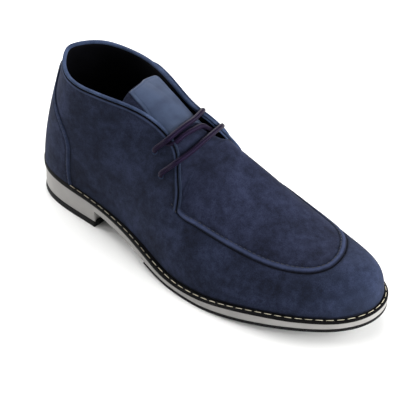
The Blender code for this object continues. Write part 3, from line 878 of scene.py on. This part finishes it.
ridge_line = row_along(apron, APRON_STITCHES)
ridge_out = row_along(-face_normals(apron), APRON_STITCHES)
piece("apron_ridge_stitches", [stitches(ridge_line, ridge_out, 2.2, 3.6, 0.5, 0.25)],
      thread, "suede")
tack_share, tack_climb = (curve(TACK, column, np.linspace(0, 1, 30))
                          for column in ("share", "climb"))
for side in SIDES:
    tack_out = outwards_at(side, tack_share, tack_climb)
    tack = quarter(side, tack_share, tack_climb) + tack_out * 0.1
    piece(f"throat_tack_{NAMES[side]}", [stitches(tack, tack_out, 1.6, 2.2, 0.6, 0.3)],
          thread, "suede")


TONGUE_FALL = table("share fall", (0.4, 1.4), (0.5, 1.7), (0.6, 2.4), (0.66, 3.6), (0.72, 5.2),
                    (0.8, 6.2), (0.88, 4.6), (0.95, 1.6), (1, 0))
TONGUE_WING = 1.25              # how far across the tongue goes on under a facing
WING_COLUMNS = 11
FALL_WAY = (0, -0.55, -0.83)    # the medial half sags to the lateral side and down


def tongue_row(share, places):
    """A row of the tongue at a share of the facing. places run from -1 at the lateral facing
    over the crest, 0, to 1 at the medial facing, and on under both. The arch follows the
    section of the throat; its medial half falls in, away from its facing."""
    sunk = 2.3 * step(1.0, 0.9, share)
    edge = along(TOP[LATERAL], np.array([TONGUE_BACK, share]))[:, 0]
    forward = TONGUE_TOP + (THROAT - TONGUE_TOP) * (edge[1] - edge[0]) / (THROAT - edge[0])
    top = crest(forward)[0]
    tuck = 11 * step(1.0, 0.9, share) + 0.02
    row = np.zeros((len(places), 3))
    for side in SIDES:
        line = quarter(side, share, np.linspace(0.6, 1, 40))
        tangent = np.gradient(line, axis=0)
        inwards = side * np.stack([0 * tangent[:, 0], -tangent[:, 2], tangent[:, 1]], axis=1)
        under = line + unit(inwards) * sunk
        angles = np.linspace(math.radians(CORNER_ANGLE[side]), math.pi / 2, 60)
        inward, upward = rise(angles, section_value(side, "power", THROAT))
        inward = (inward - inward[0]) / (1 - inward[0])
        upward = (upward - upward[0]) / (1 - upward[0])
        arch = under[-1] + (top - under[-1]) * np.stack([inward, inward, upward], axis=1)
        half = side * places >= (0 if side == MEDIAL else 1e-9)
        out = side * places[half]
        reach = run_length(under)
        beyond = reach[-1] - tuck * np.clip((out - 1) / (TONGUE_WING - 1), 0, 1)
        row[half] = np.where(out[:, None] > 1, read(under, reach, beyond),
                             along(arch, 1 - np.clip(out, 0, 1)))
    fall = straight(TONGUE_FALL, share)
    sag = fall * step(-0.45, 0.5, places) + 2.0 * step(0.72, 0.64, share) * step(0.45, 0.9, places)
    return row + np.outer(sag, FALL_WAY)


def tongue_at(share, place, lift=0.0):
    """Points on the tongue, between the rows and columns of its dense table, lifted off it."""
    i = np.interp(share, TONGUE_SHARES, np.arange(len(TONGUE_SHARES)))
    j = np.interp(place, TONGUE_PLACES, np.arange(len(TONGUE_PLACES)))
    i, j = np.broadcast_arrays(i, j)
    low_i = np.clip(i.astype(int), 0, len(TONGUE_SHARES) - 2)
    low_j = np.clip(j.astype(int), 0, len(TONGUE_PLACES) - 2)
    part_i, part_j = (i - low_i)[..., None], (j - low_j)[..., None]

    def between(values):
        near = values[low_i, low_j] * (1 - part_j) + values[low_i, low_j + 1] * part_j
        far = values[low_i + 1, low_j] * (1 - part_j) + values[low_i + 1, low_j + 1] * part_j
        return near * (1 - part_i) + far * part_i

    return between(TONGUE) + unit(between(TONGUE_OUT)) * np.asarray(lift)[..., None]


TONGUE_SHARES = np.linspace(0.42, 1, 117)
TONGUE_PLACES = np.linspace(-TONGUE_WING, TONGUE_WING, 161)
TONGUE = np.array([tongue_row(share, TONGUE_PLACES) for share in TONGUE_SHARES])
TONGUE_OUT = -face_normals(TONGUE)
TONGUE_EDGE = table("place share", (-1.25, 0.455), (-0.94, 0.467), (-0.63, 0.478), (-0.31, 0.493),
                    (-0.05, 0.498), (0.2, 0.493), (0.49, 0.484), (0.8, 0.476), (1.0, 0.487),
                    (1.25, 0.56))


def tongue_top(place):
    """Share of the facing where the tongue's top edge lies."""
    return curve(TONGUE_EDGE, "share", place)


wing = np.linspace(1, TONGUE_WING, WING_COLUMNS + 1)
places = np.concatenate([-wing[:0:-1], across - 1, 1 - across[-2::-1], wing[1:]])
tongue_rows = np.linspace(0, 1, 96)[:, None]
start = tongue_top(places)
tongue = tongue_at(start + (1 - start) * tongue_rows, places)
crest_column = WING_COLUMNS + len(across) - 1
tongue[-1, WING_COLUMNS:crest_column] = apron[0, :-1]
tongue[-1, crest_column:crest_column + len(across)] = apron[-1, ::-1]


def throat_shade(points):
    """Soft patch of painted shade at the throat, under the laces."""
    return -0.4 * hump(np.linalg.norm(points - THROAT_SHADE, axis=-1), 17.0)


# Painted shade: the tongue goes near black in the gap beside the label, under the medial facing
gap_shade = -1.0 * step(0.82, 0.85, places) * step(0.86, 0.7, tongue_rows * 0.5 + 0.5)
piece("apron_and_tongue", [quads(apron, flip=True), quads(tongue, flip=True)],
      apron_suede, "suede", ("tongue",), wall=TONGUE_WALL, lined=lining_in_shade,
      rub=np.concatenate([(apron_rub + throat_shade(apron)).ravel(),
                          (throat_shade(tongue) + gap_shade).ravel()]))


# ---- Label on the tongue
LABEL_LEFT = table("share place", (0.47, -0.62), (0.495, -0.72), (0.56, -0.93), (0.6, -1.08),
                   (0.75, -1.12))
LABEL_RIGHT = 0.84
LABEL_FOOT = table("place share", (-1.12, 0.7), (-0.85, 0.708), (-0.45, 0.728), (0, 0.742),
                   (0.5, 0.745), (1, 0.741))


def label_grid(rows, columns):
    """The label, and the shares of the way down and over it. Its left edge slants under the
    lateral facing, its right edge lies under the medial one, and its foot under the upper
    bar of the lace. It is 1 mm thick, and rounds off to its rim over 0.8 mm."""
    down = np.linspace(0, 1, rows)[:, None]
    over = np.linspace(0, 1, columns)[None, :]

    def place_at(share):
        left = straight(LABEL_LEFT, share)
        return left + (LABEL_RIGHT - left) * over

    place = place_at(0.48 + 0.26 * down)
    first = tongue_top(place) + 0.002
    share = first + (straight(LABEL_FOOT, place) - first) * down
    place = place_at(share)
    flat = tongue_at(share, place)
    rim = np.concatenate([flat[0], flat[:, -1], flat[-1], flat[:, 0]])
    to_rim = distance_to(rim, flat)
    lift = 0.15 + 0.85 * np.sqrt(np.clip(1 - (1 - np.clip(to_rim / 0.8, 0, 1)) ** 2, 0, 1))
    lift = lift - 0.25 * hump(to_rim - 2.4, 0.35)
    return tongue_at(share, place, lift), down, over


label, label_down, label_over = label_grid(90, 70)
# Painted shadow of the medial facing and the upper lace bar, darkest at the label's lower right
label_shade = -0.6 * label_down ** 2.5 * label_over - 0.2 * label_over ** 2
piece("tongue_label", [quads(label, flip=True)], label_leather, "suede", wall=PANEL_WALL,
      rub=label_shade)


# ---- Folded edge round the collar and down both facings
EDGE_STEPS = 260                # along each side's edge
TURNED_IN_STEPS = 150           # of them along each facing


def edge_frame():
    """The top edge from the lateral throat round the heel to the medial throat, the way
    outwards across it and the way up out of it."""
    lines, outs, ups = [], [], []
    for side in SIDES:
        share = np.linspace(0, 1, EDGE_STEPS)
        line = along(TOP[side], share)
        tangent = unit(np.gradient(line, axis=0))
        inner = quarter(side, share[:, None], np.array([0.93, 0.97]))
        wall_up = unit(inner[:, 1] - inner[:, 0])
        outwards = unit(np.cross(tangent, wall_up)) * -side
        corner = CORNER_ANGLE[side]
        section = forepart(side, THROAT, np.radians([corner - 3, corner]))
        last_up = unit(section[1] - section[0])
        forwards = unit(forepart(side, THROAT + 2, np.radians(corner)) - section[1])
        corner_out = unit(np.cross(forwards, last_up)) * -side
        mix = step(0.82, 0.94, share)[:, None]
        outwards = unit(outwards * (1 - mix) + corner_out * mix)
        outwards = unit(outwards - tangent * (outwards * tangent).sum(axis=1, keepdims=True))
        up = unit(np.cross(outwards, tangent)) * -side
        lines.append(line)
        outs.append(outwards)
        ups.append(up)
    return [np.vstack([lateral[:0:-1], medial]) for lateral, medial in (lines, outs, ups)]


edge_line, edge_out, edge_up = edge_frame()
binding = round_loop([(0.1, 0.0), (0.5, 0.25), (0.65, 0.8), (0.45, 1.35), (0, 1.6), (-0.6, 1.7),
                      (-1.3, 1.6), (-1.95, 1.2), (-2.2, 0.5), (-2.0, -0.2), (-1.0, -0.3)], 22)
reach = run_length(edge_line)
ends = np.minimum(reach, reach[-1] - reach)
shrink = 0.45 + 0.55 * np.sqrt(np.clip(ends / 3.5, 0, 1))
shrink = shrink * (1 - 0.4 * step(70, 40, ends))
profiles = binding[None] * np.stack([shrink, np.ones_like(shrink)], axis=1)[:, None]
edge_tube = with_ends(swept(edge_line, edge_out, edge_up, profiles))
shaded = np.pad(-0.65 * step(75, 45, ends) * (reach < reach[-1] / 2), 1, "edge")
piece("collar_and_facing_edge", [quads(edge_tube, close_columns=True)], edge_suede_highlit, "suede",
      rub=shaded[:, None] + 0 * edge_tube[..., 0])

# A thin black tube laid in the groove under the folded edge: painted shadow of the edge
groove_line = edge_line - edge_up * 0.9 + edge_out * (0.1 - 0.25 * step(70, 40, ends))[:, None]
edge_shadow_tube = circle(8) * (0.45 - 0.2 * step(70, 45, ends))[:, None, None]
edge_shadow_tube = with_ends(swept(groove_line, edge_out, edge_up, edge_shadow_tube))
piece("painted_shadow_under_the_edge", [quads(edge_shadow_tube, close_columns=True)], black_painted_edge_shadow, "suede")

fold = round_loop([(0.5, 0.1), (0.85, 1.1), (1.5, 1.4), (2.1, 0.9), (2.2, -0.2), (1.4, -0.8)],
                  18)
fold_size = fold_window(np.linspace(0, 1, EDGE_STEPS))
fold_part = np.flatnonzero(fold_size > 0.02)
fold_size = fold_size[fold_part, None, None]
fold_part = fold_part + EDGE_STEPS - 1
fold = with_ends(swept(edge_line[fold_part], edge_out[fold_part], edge_up[fold_part],
                       fold * fold_size + (1 - fold_size) * (0.2, 0.2)))
piece("medial_facing_fold", [quads(fold, flip=True, close_columns=True)], edge_suede_highlit, "suede")

turned_in = round_loop([(-1.2, -0.5), (-1.8, -0.4), (-2.2, -0.9), (-2.25, -1.6), (-2.0, -2.2),
                        (-1.6, -2.3), (-1.2, -1.5)], 16)
# The turned-in strips are lightened all along by a painted highlight
for side, part in ((LATERAL, slice(0, TURNED_IN_STEPS)), (MEDIAL, slice(-TURNED_IN_STEPS, None))):
    taper = (np.linspace(0.02, 1, TURNED_IN_STEPS)[::side] ** 0.5)[:, None, None]
    strip = with_ends(swept(edge_line[part], edge_out[part], edge_up[part],
                            (turned_in + (1.1, 0)) * taper - (1.1, 0)))
    piece(f"turned_in_edge_{NAMES[side]}", [quads(strip, close_columns=True)],
          edge_suede_highlit, "lining", rub=np.full(strip.shape[:2], 0.6))


# ---- Lining and footbed
# The lining and the footbed take the near-black lining: painted shade inside the boot
lining_down = np.linspace(0.01, 0.97, 30)
lining = np.concatenate([wall_rows(LATERAL, np.linspace(1, 0, 90), lining_down)[:-1],
                         wall_rows(MEDIAL, np.linspace(0, 1, 90), lining_down)])
piece("lining", [quads(lining + face_normals(lining) * LINING_DEPTH)], lining_in_shade, "lining",
      wall=LINING_WALL)
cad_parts["insole"].material_slots[0].material = lining_in_shade


# ---- Heel counter
def round_three_sides(grid):
    """The line down a grid's first row, along its last column and back its last row."""
    return np.vstack([grid[0], grid[1:-1, -1], grid[-1, ::-1]])


counter_climbs = np.linspace(*COUNTER_SPAN, 120)
counter_half = np.linspace(0, 1, 70)[:, None] * counter_edge(counter_climbs)
counter = [quarter(side, counter_half, counter_climbs) for side in SIDES]
counter = np.concatenate([counter[0][:0:-1], counter[1]])
counter_side = round_three_sides(counter)
to_outline = distance_to(counter_side, counter)
counter_out = face_normals(counter)
lift = (0.2 + np.sqrt(np.clip(to_outline / 0.9, 0, 1))
        - 0.3 * hump(to_outline - COUNTER_OUTER, 0.4) - 0.4 * hump(to_outline - COUNTER_INNER, 0.5)
        + 0.12 * hump(to_outline - 2.4, 0.9))
# Painted highlight on the panel's rounded edge and padded ridge, and painted shade in its inner
# stitch groove and along its foot over the welt
above_foot = np.linspace(0, 90, counter.shape[1])
counter_rub = (0.3 * hump(to_outline - 0.5, 0.6) + 0.5 * hump(to_outline - 2.4, 0.8)
               - 0.8 * hump(to_outline - COUNTER_INNER, 0.5) - hump(above_foot, 1.3))
piece("heel_counter_panel", [quads(counter + counter_out * lift[..., None])], quarter_suede,
      "suede", ("heel_counter",), wall=PANEL_WALL, rub=counter_rub)

side_out = round_three_sides(counter_out)
inwards = unit(np.cross(side_out, np.gradient(counter_side, axis=0)))
for number, depth in (("outer", COUNTER_OUTER), ("inner", COUNTER_INNER)):
    row = counter_side + inwards * depth + side_out * (0.75 - depth ** 2 / 66)
    piece(f"counter_stitches_{number}", [stitches(row, side_out, 2.2, 3.0, 0.6, 0.35)],
          thread, "suede")


# ---- Eyelets
def ring_round(centre, axis, profile):
    """A profile of (radius, height) points turned round an axis in 28 steps."""
    across = unit(np.cross(axis, (1.0, 0, 0)))
    along_it = np.cross(across, axis)
    spoke = (circle(28) @ (across, along_it))[:, None]
    return centre + spoke * profile[:, :1] + axis * profile[:, 1:]


# Profiles of an eyelet's rolled rim and dark well, (radius, height). The well is a dish of
# the near-black lining: painted shade in the hole
rim = round_loop([(1.9, -0.4), (1.95, 0.15), (2.3, 0.35), (2.7, 0.2), (2.85, -0.3),
                  (2.3, -0.6)], 12)
well = np.array([(0.0, -0.05), (1.2, -0.05), (2.1, 0.02), (2.1, -0.25), (0.0, -0.3)])
for name, share, climb in zip(("lower", "upper"), EYELETS["share"], EYELETS["climb"]):
    for side in SIDES:
        centre, axis = quarter(side, share, climb), outwards_at(side, share, climb)
        ring, dip = ring_round(centre, axis, rim), ring_round(centre, axis, well)
        piece(f"eyelet_rim_{name}_{NAMES[side]}",
              [quads(ring, flip=True, close_rows=True, close_columns=True)],
              edge_suede_highlit, "suede", rub=np.full(ring.shape[:2], -0.35))
        piece(f"eyelet_well_{name}_{NAMES[side]}", [quads(dip, flip=True, close_rows=True)],
              lining_in_shade, "lining")


# ---- Lace
def bar_points(number, cross, places):
    """One bar of the lace from inside the lateral eyelet, over both facings, to inside the
    medial one. cross is where it passes the facings' edges, lateral and medial, and between
    them it rests on the tongue."""
    share, climb = EYELETS["share"][number], EYELETS["climb"][number]
    half = LACE / 2
    climbs = np.array([climb - 0.005, climb, climb + 0.03, (climb + 1) / 2, 0.985])
    lifts = np.array([-3.5, -0.6, half + 0.2, half + 0.25, half + 0.6])[:, None]
    over = np.clip((climbs - climb) / (climbs[-1] - climb), 0, 1)
    lateral, medial = (
        quarter(side, share + (last - share) * over, climbs)
        + outwards_at(side, share + (last - share) * over, climbs) * lifts
        for side, last in zip(SIDES, cross))
    return np.vstack([lateral, tongue_at(*np.array(places).T, half + 0.25), medial[::-1]])


def lace_path():
    """The lace from its hidden end inside the lower lateral eyelet: the lower bar, the run
    inside from the lower medial eyelet to the upper lateral one, and the upper bar."""
    lower = bar_points(0, (0.81, 0.8), [(0.837, -0.63), (0.852, -0.35), (0.849, -0.09)])
    upper = bar_points(1, (0.713, 0.7), [(0.722, -0.63), (0.728, -0.37), (0.726, -0.05)])
    run = tongue_at(np.array([0.785, 0.775, 0.77, 0.762, 0.744, 0.734, 0.715]),
                    np.array([0.75, 0.35, 0.0, -0.31, -0.78, -0.99, -1.15]),
                    LACE / 2 + np.array([-0.4, 0, 0, 0, 0, -0.8, -1.8]))
    start = lower[0] + (-2.5, 1, -2)
    end = upper[-1] + (-2.5, -1, -2)
    points = np.vstack([start, lower, run, upper, end])
    knots = run_length(points)
    return spline(points, knots, np.linspace(0, knots[-1], 420))


# A round tube on frames carried along the path, with closed ends
LACE_SIDES = 14
path = lace_path()
tangent = unit(np.gradient(path, axis=0))
beside = unit(np.cross(tangent, (0.2, 0.1, 1.0)))
lace = with_ends(swept(path, beside, np.cross(beside, tangent), circle(LACE_SIDES) * LACE / 2))
lace_run, lace_turn = np.meshgrid(np.pad(run_length(path), 1, "edge"),
                                  np.arange(LACE_SIDES) / LACE_SIDES, indexing="ij")
piece("lace", [quads(lace, flip=True, close_columns=True)], lace_cord, "lace",
      ("lace_lower_bar", "lace_upper_bar", "lace_inner_run"), run=lace_run, turn=lace_turn)


# ---- Sole
def sole_places(start, end, count):
    """Places on both outlines between two forward positions, evenly along each:
    {side: numbers of the dense points}."""
    places = {}
    for side in SIDES:
        reach = run_length(EDGE[side])
        first, last = np.interp([start, end], EDGE[side][:, 0], reach)
        places[side] = np.interp(np.linspace(first, last, count), reach, np.arange(len(reach)))
    return places


def sole_row(places, side, inset, height, rise_by):
    """One edge line of a sole layer: the outline's places moved inwards, at a height that
    follows the line, and a rise above it."""
    line = inset_edge(side, inset[side] if isinstance(inset, dict) else inset)[0]
    plan = read(line, np.arange(len(line)), places[side])
    return np.column_stack([plan, height(plan[:, 0]) + rise_by])


def sole_side(places, side, levels):
    """The lines of a layer's levels, (inset, height, rise), beside one another."""
    return np.stack([sole_row(places, side, *level) for level in levels], axis=1)


def sole_layer(places, levels):
    """A layer of the sole as one closed grid: each row is a loop round its section, up the
    lateral levels, across, and down the medial ones."""
    return np.concatenate([sole_side(places, LATERAL, levels),
                           sole_side(places, MEDIAL, levels[::-1])], axis=1)


def floor(forward):
    """Height of the floor, 0 everywhere."""
    return 0 * forward


def midsole_under(forward):
    """Underside of the midsole: the heel block, then the thin forepart."""
    return np.where(forward <= BREAST, TOP_LIFT, sole_top(forward) - MIDSOLE)


def brim(forward):
    """Upper edge of the foam, which waves a little about the sole's plain top."""
    return sole_top(forward) + curve(BRIM, "rise", forward)


def crown(forward):
    """Height of the welt's ridge."""
    return brim(forward) + curve(CROWN, "rise", forward)


def seam(forward):
    """Height of the welt's stitches: on the ridge, and 0.4 mm down it behind the ball."""
    return crown(forward) - 0.4 * step(155, 130, forward)


def seat(forward):
    """Height of the welt under the foot of the upper: under the drop of the foot, and
    close under the ridge behind the ball."""
    return np.maximum(sole_top(forward) + WELT - foot_drop(forward),
                      crown(forward) - 0.2 - 3.0 * step(140, 165, forward))


breast_foot = BREAST + BREAST_SLOPE
lengths = [sole_places(0, BREAST - 0.1, 70), sole_places(BREAST, breast_foot, 3),
           sole_places(breast_foot + 0.2, LENGTH, 170)]
midsole = sole_layer(
    {side: np.concatenate([part[side] for part in lengths]) for side in SIDES},
    [(5, midsole_under, 0), (0.9, midsole_under, 0), (0.45, midsole_under, 0.12),
     (0.15, midsole_under, 0.5), (0.1, midsole_under, 1), (0.3, brim, -2.2), (0.1, brim, -0.4),
     (0.3, brim, 0), (0.9, brim, 0.1), (5, sole_top, 0)])
piece("midsole_and_heel", [quads(midsole, flip=True, close_columns=True)],
      midsole_foam, "midsole_foam", ("midsole_heel",))

heel_lift = sole_layer(
    sole_places(0, BREAST - 0.2, 80),
    [(4, floor, 0), (0.2, floor, 0), (-0.35, floor, 0.15), (-0.5, floor, 0.6),
     (-0.1, floor, TOP_LIFT - 0.5), (0.1, floor, TOP_LIFT - 0.15), (0.6, floor, TOP_LIFT),
     (4, floor, TOP_LIFT)])
piece("heel_top_lift", [quads(with_ends(heel_lift)[1:], flip=True, close_columns=True)],
      black_rubber, "black_rubber", ("top_lift",))

outsole = sole_layer(
    sole_places(OUTSOLE_START, LENGTH, 150),
    [(4, sole_top, -TREAD_TOP), (0.9, sole_top, -TREAD_TOP), (0.5, sole_top, 0.15 - TREAD_TOP),
     (0.3, sole_top, 0.6 - TREAD_TOP), (0.3, sole_top, -MIDSOLE - 0.5),
     (0.6, sole_top, -MIDSOLE), (4, sole_top, -MIDSOLE)])
piece("forepart_outsole", [quads(with_ends(outsole)[:-1], flip=True, close_columns=True)],
      black_rubber, "black_rubber", ("outsole_forepart",))

feather = {side: feather_inset(side) for side in SIDES}
inside = {side: feather[side] + WELT_TUCK for side in SIDES}
ridge_inset = {side: feather[side] * 0.34 + 0.45 for side in SIDES}
stitch_inset = {side: ridge_inset[side] - 0.9 * step(155, 130, EDGE[side][:, 0])
                for side in SIDES}


def proud_by(inset):
    """The welt stands 0.2 mm proud of the foam, and 0.6 mm round the heel."""
    return {side: inset - 0.2 - 0.4 * step(90, 50, EDGE[side][:, 0]) for side in SIDES}


welt_levels = [(inside, sole_top, -0.5), (0.6, sole_top, -0.5), (proud_by(0.2), brim, -0.1),
               (proud_by(0), brim, 0.15), (proud_by(0), crown, -0.9),
               (proud_by(0.3), crown, -0.55), (ridge_inset, crown, 0), (feather, seat, 0),
               (inside, seat, 0)]
whole = sole_places(0, LENGTH, 220)
welt = np.concatenate([sole_side(whole, LATERAL, welt_levels),
                       sole_side(whole, MEDIAL, welt_levels)[::-1]])
piece("welt_strip", [quads(welt, flip=True, close_rows=True, close_columns=True)],
      welt_leather, "welt", ("welt",))
for side in SIDES:
    seam_row = sole_row(sole_places(46, LENGTH, 260), side, stitch_inset, seam, 0)
    sewn = stitches(seam_row, seam_row * 0 + (0, 0, 1.0), 5.4, 7.2, 0.5, 0.25)
    forward = sewn[0][:, 0]
    # The thread is drawn darker behind the ball, and a little darker from about 200 mm forward
    thread_darkening = -0.5 * step(155, 130, forward) - 0.15 * step(190, 210, forward)
    piece(f"welt_stitches_{NAMES[side]}", [sewn], welt_thread, "welt", rub=thread_darkening)


# ---- Floor, light and camera
mesh = bpy.data.meshes.new("floor")
mesh.from_pydata([(-4, -4, 0), (4, -4, 0), (4, 4, 0), (-4, 4, 0)], [], [(0, 1, 2, 3)])
mesh.materials.append(finish_named("matt_white_floor", "#EDEDEC", 0.9)[0])
floor_item = bpy.data.objects.new("floor", mesh)
bpy.context.collection.objects.link(floor_item)

# Square white soft lights, 1.4 m wide, that face the boot: name, place and power in watts
BOOT_MIDDLE = Vector((0, 0, 0.03))
for name, place, power in (("overhead", (0, 0, 2.2), 12), ("toe_side", (2.1, 0, 0.9), 72),
                           ("medial_toe_side", (1.5, 1.5, 1.0), 46),
                           ("medial_heel_side", (-1.5, 1.5, 1.2), 42),
                           ("heel_side", (-2.1, 0, 0.9), 62),
                           ("lateral_heel_side", (-1.5, -1.5, 1.0), 16)):
    lamp = bpy.data.lights.new(name, "AREA")
    lamp.shape, lamp.size, lamp.energy = "SQUARE", 1.4, power
    item = bpy.data.objects.new(name, lamp)
    item.location = place
    item.rotation_euler = (Vector(place) - BOOT_MIDDLE).to_track_quat("Z", "Y").to_euler()
    bpy.context.collection.objects.link(item)

world = bpy.data.worlds.new("studio")
world.use_nodes = True
sky = world.node_tree.nodes["Background"].inputs
sky["Color"].default_value = linear("#FFFFFF")
sky["Strength"].default_value = 0.12
bpy.context.scene.world = world
bpy.context.scene.view_settings.view_transform = "Standard"

CAMERA_AT = Vector((0.9082, -0.9731, 1.0571))
CAMERA_AIM = Vector((-0.002, -0.003, 0.045))
CAMERA_ROLL = -1.274            # degrees
CAMERA_LENS = 215.0             # mm, on a 36 mm wide sensor

view = bpy.data.cameras.new("camera")
view.sensor_width = 36.0
view.lens = CAMERA_LENS
camera = bpy.data.objects.new("camera", view)
turned = (CAMERA_AT - CAMERA_AIM).to_track_quat("Z", "Y").to_matrix().to_4x4()
camera.matrix_world = (Matrix.Translation(CAMERA_AT) @ turned
                       @ Matrix.Rotation(math.radians(CAMERA_ROLL), 4, "Z"))
bpy.context.collection.objects.link(camera)
bpy.context.scene.camera = camera
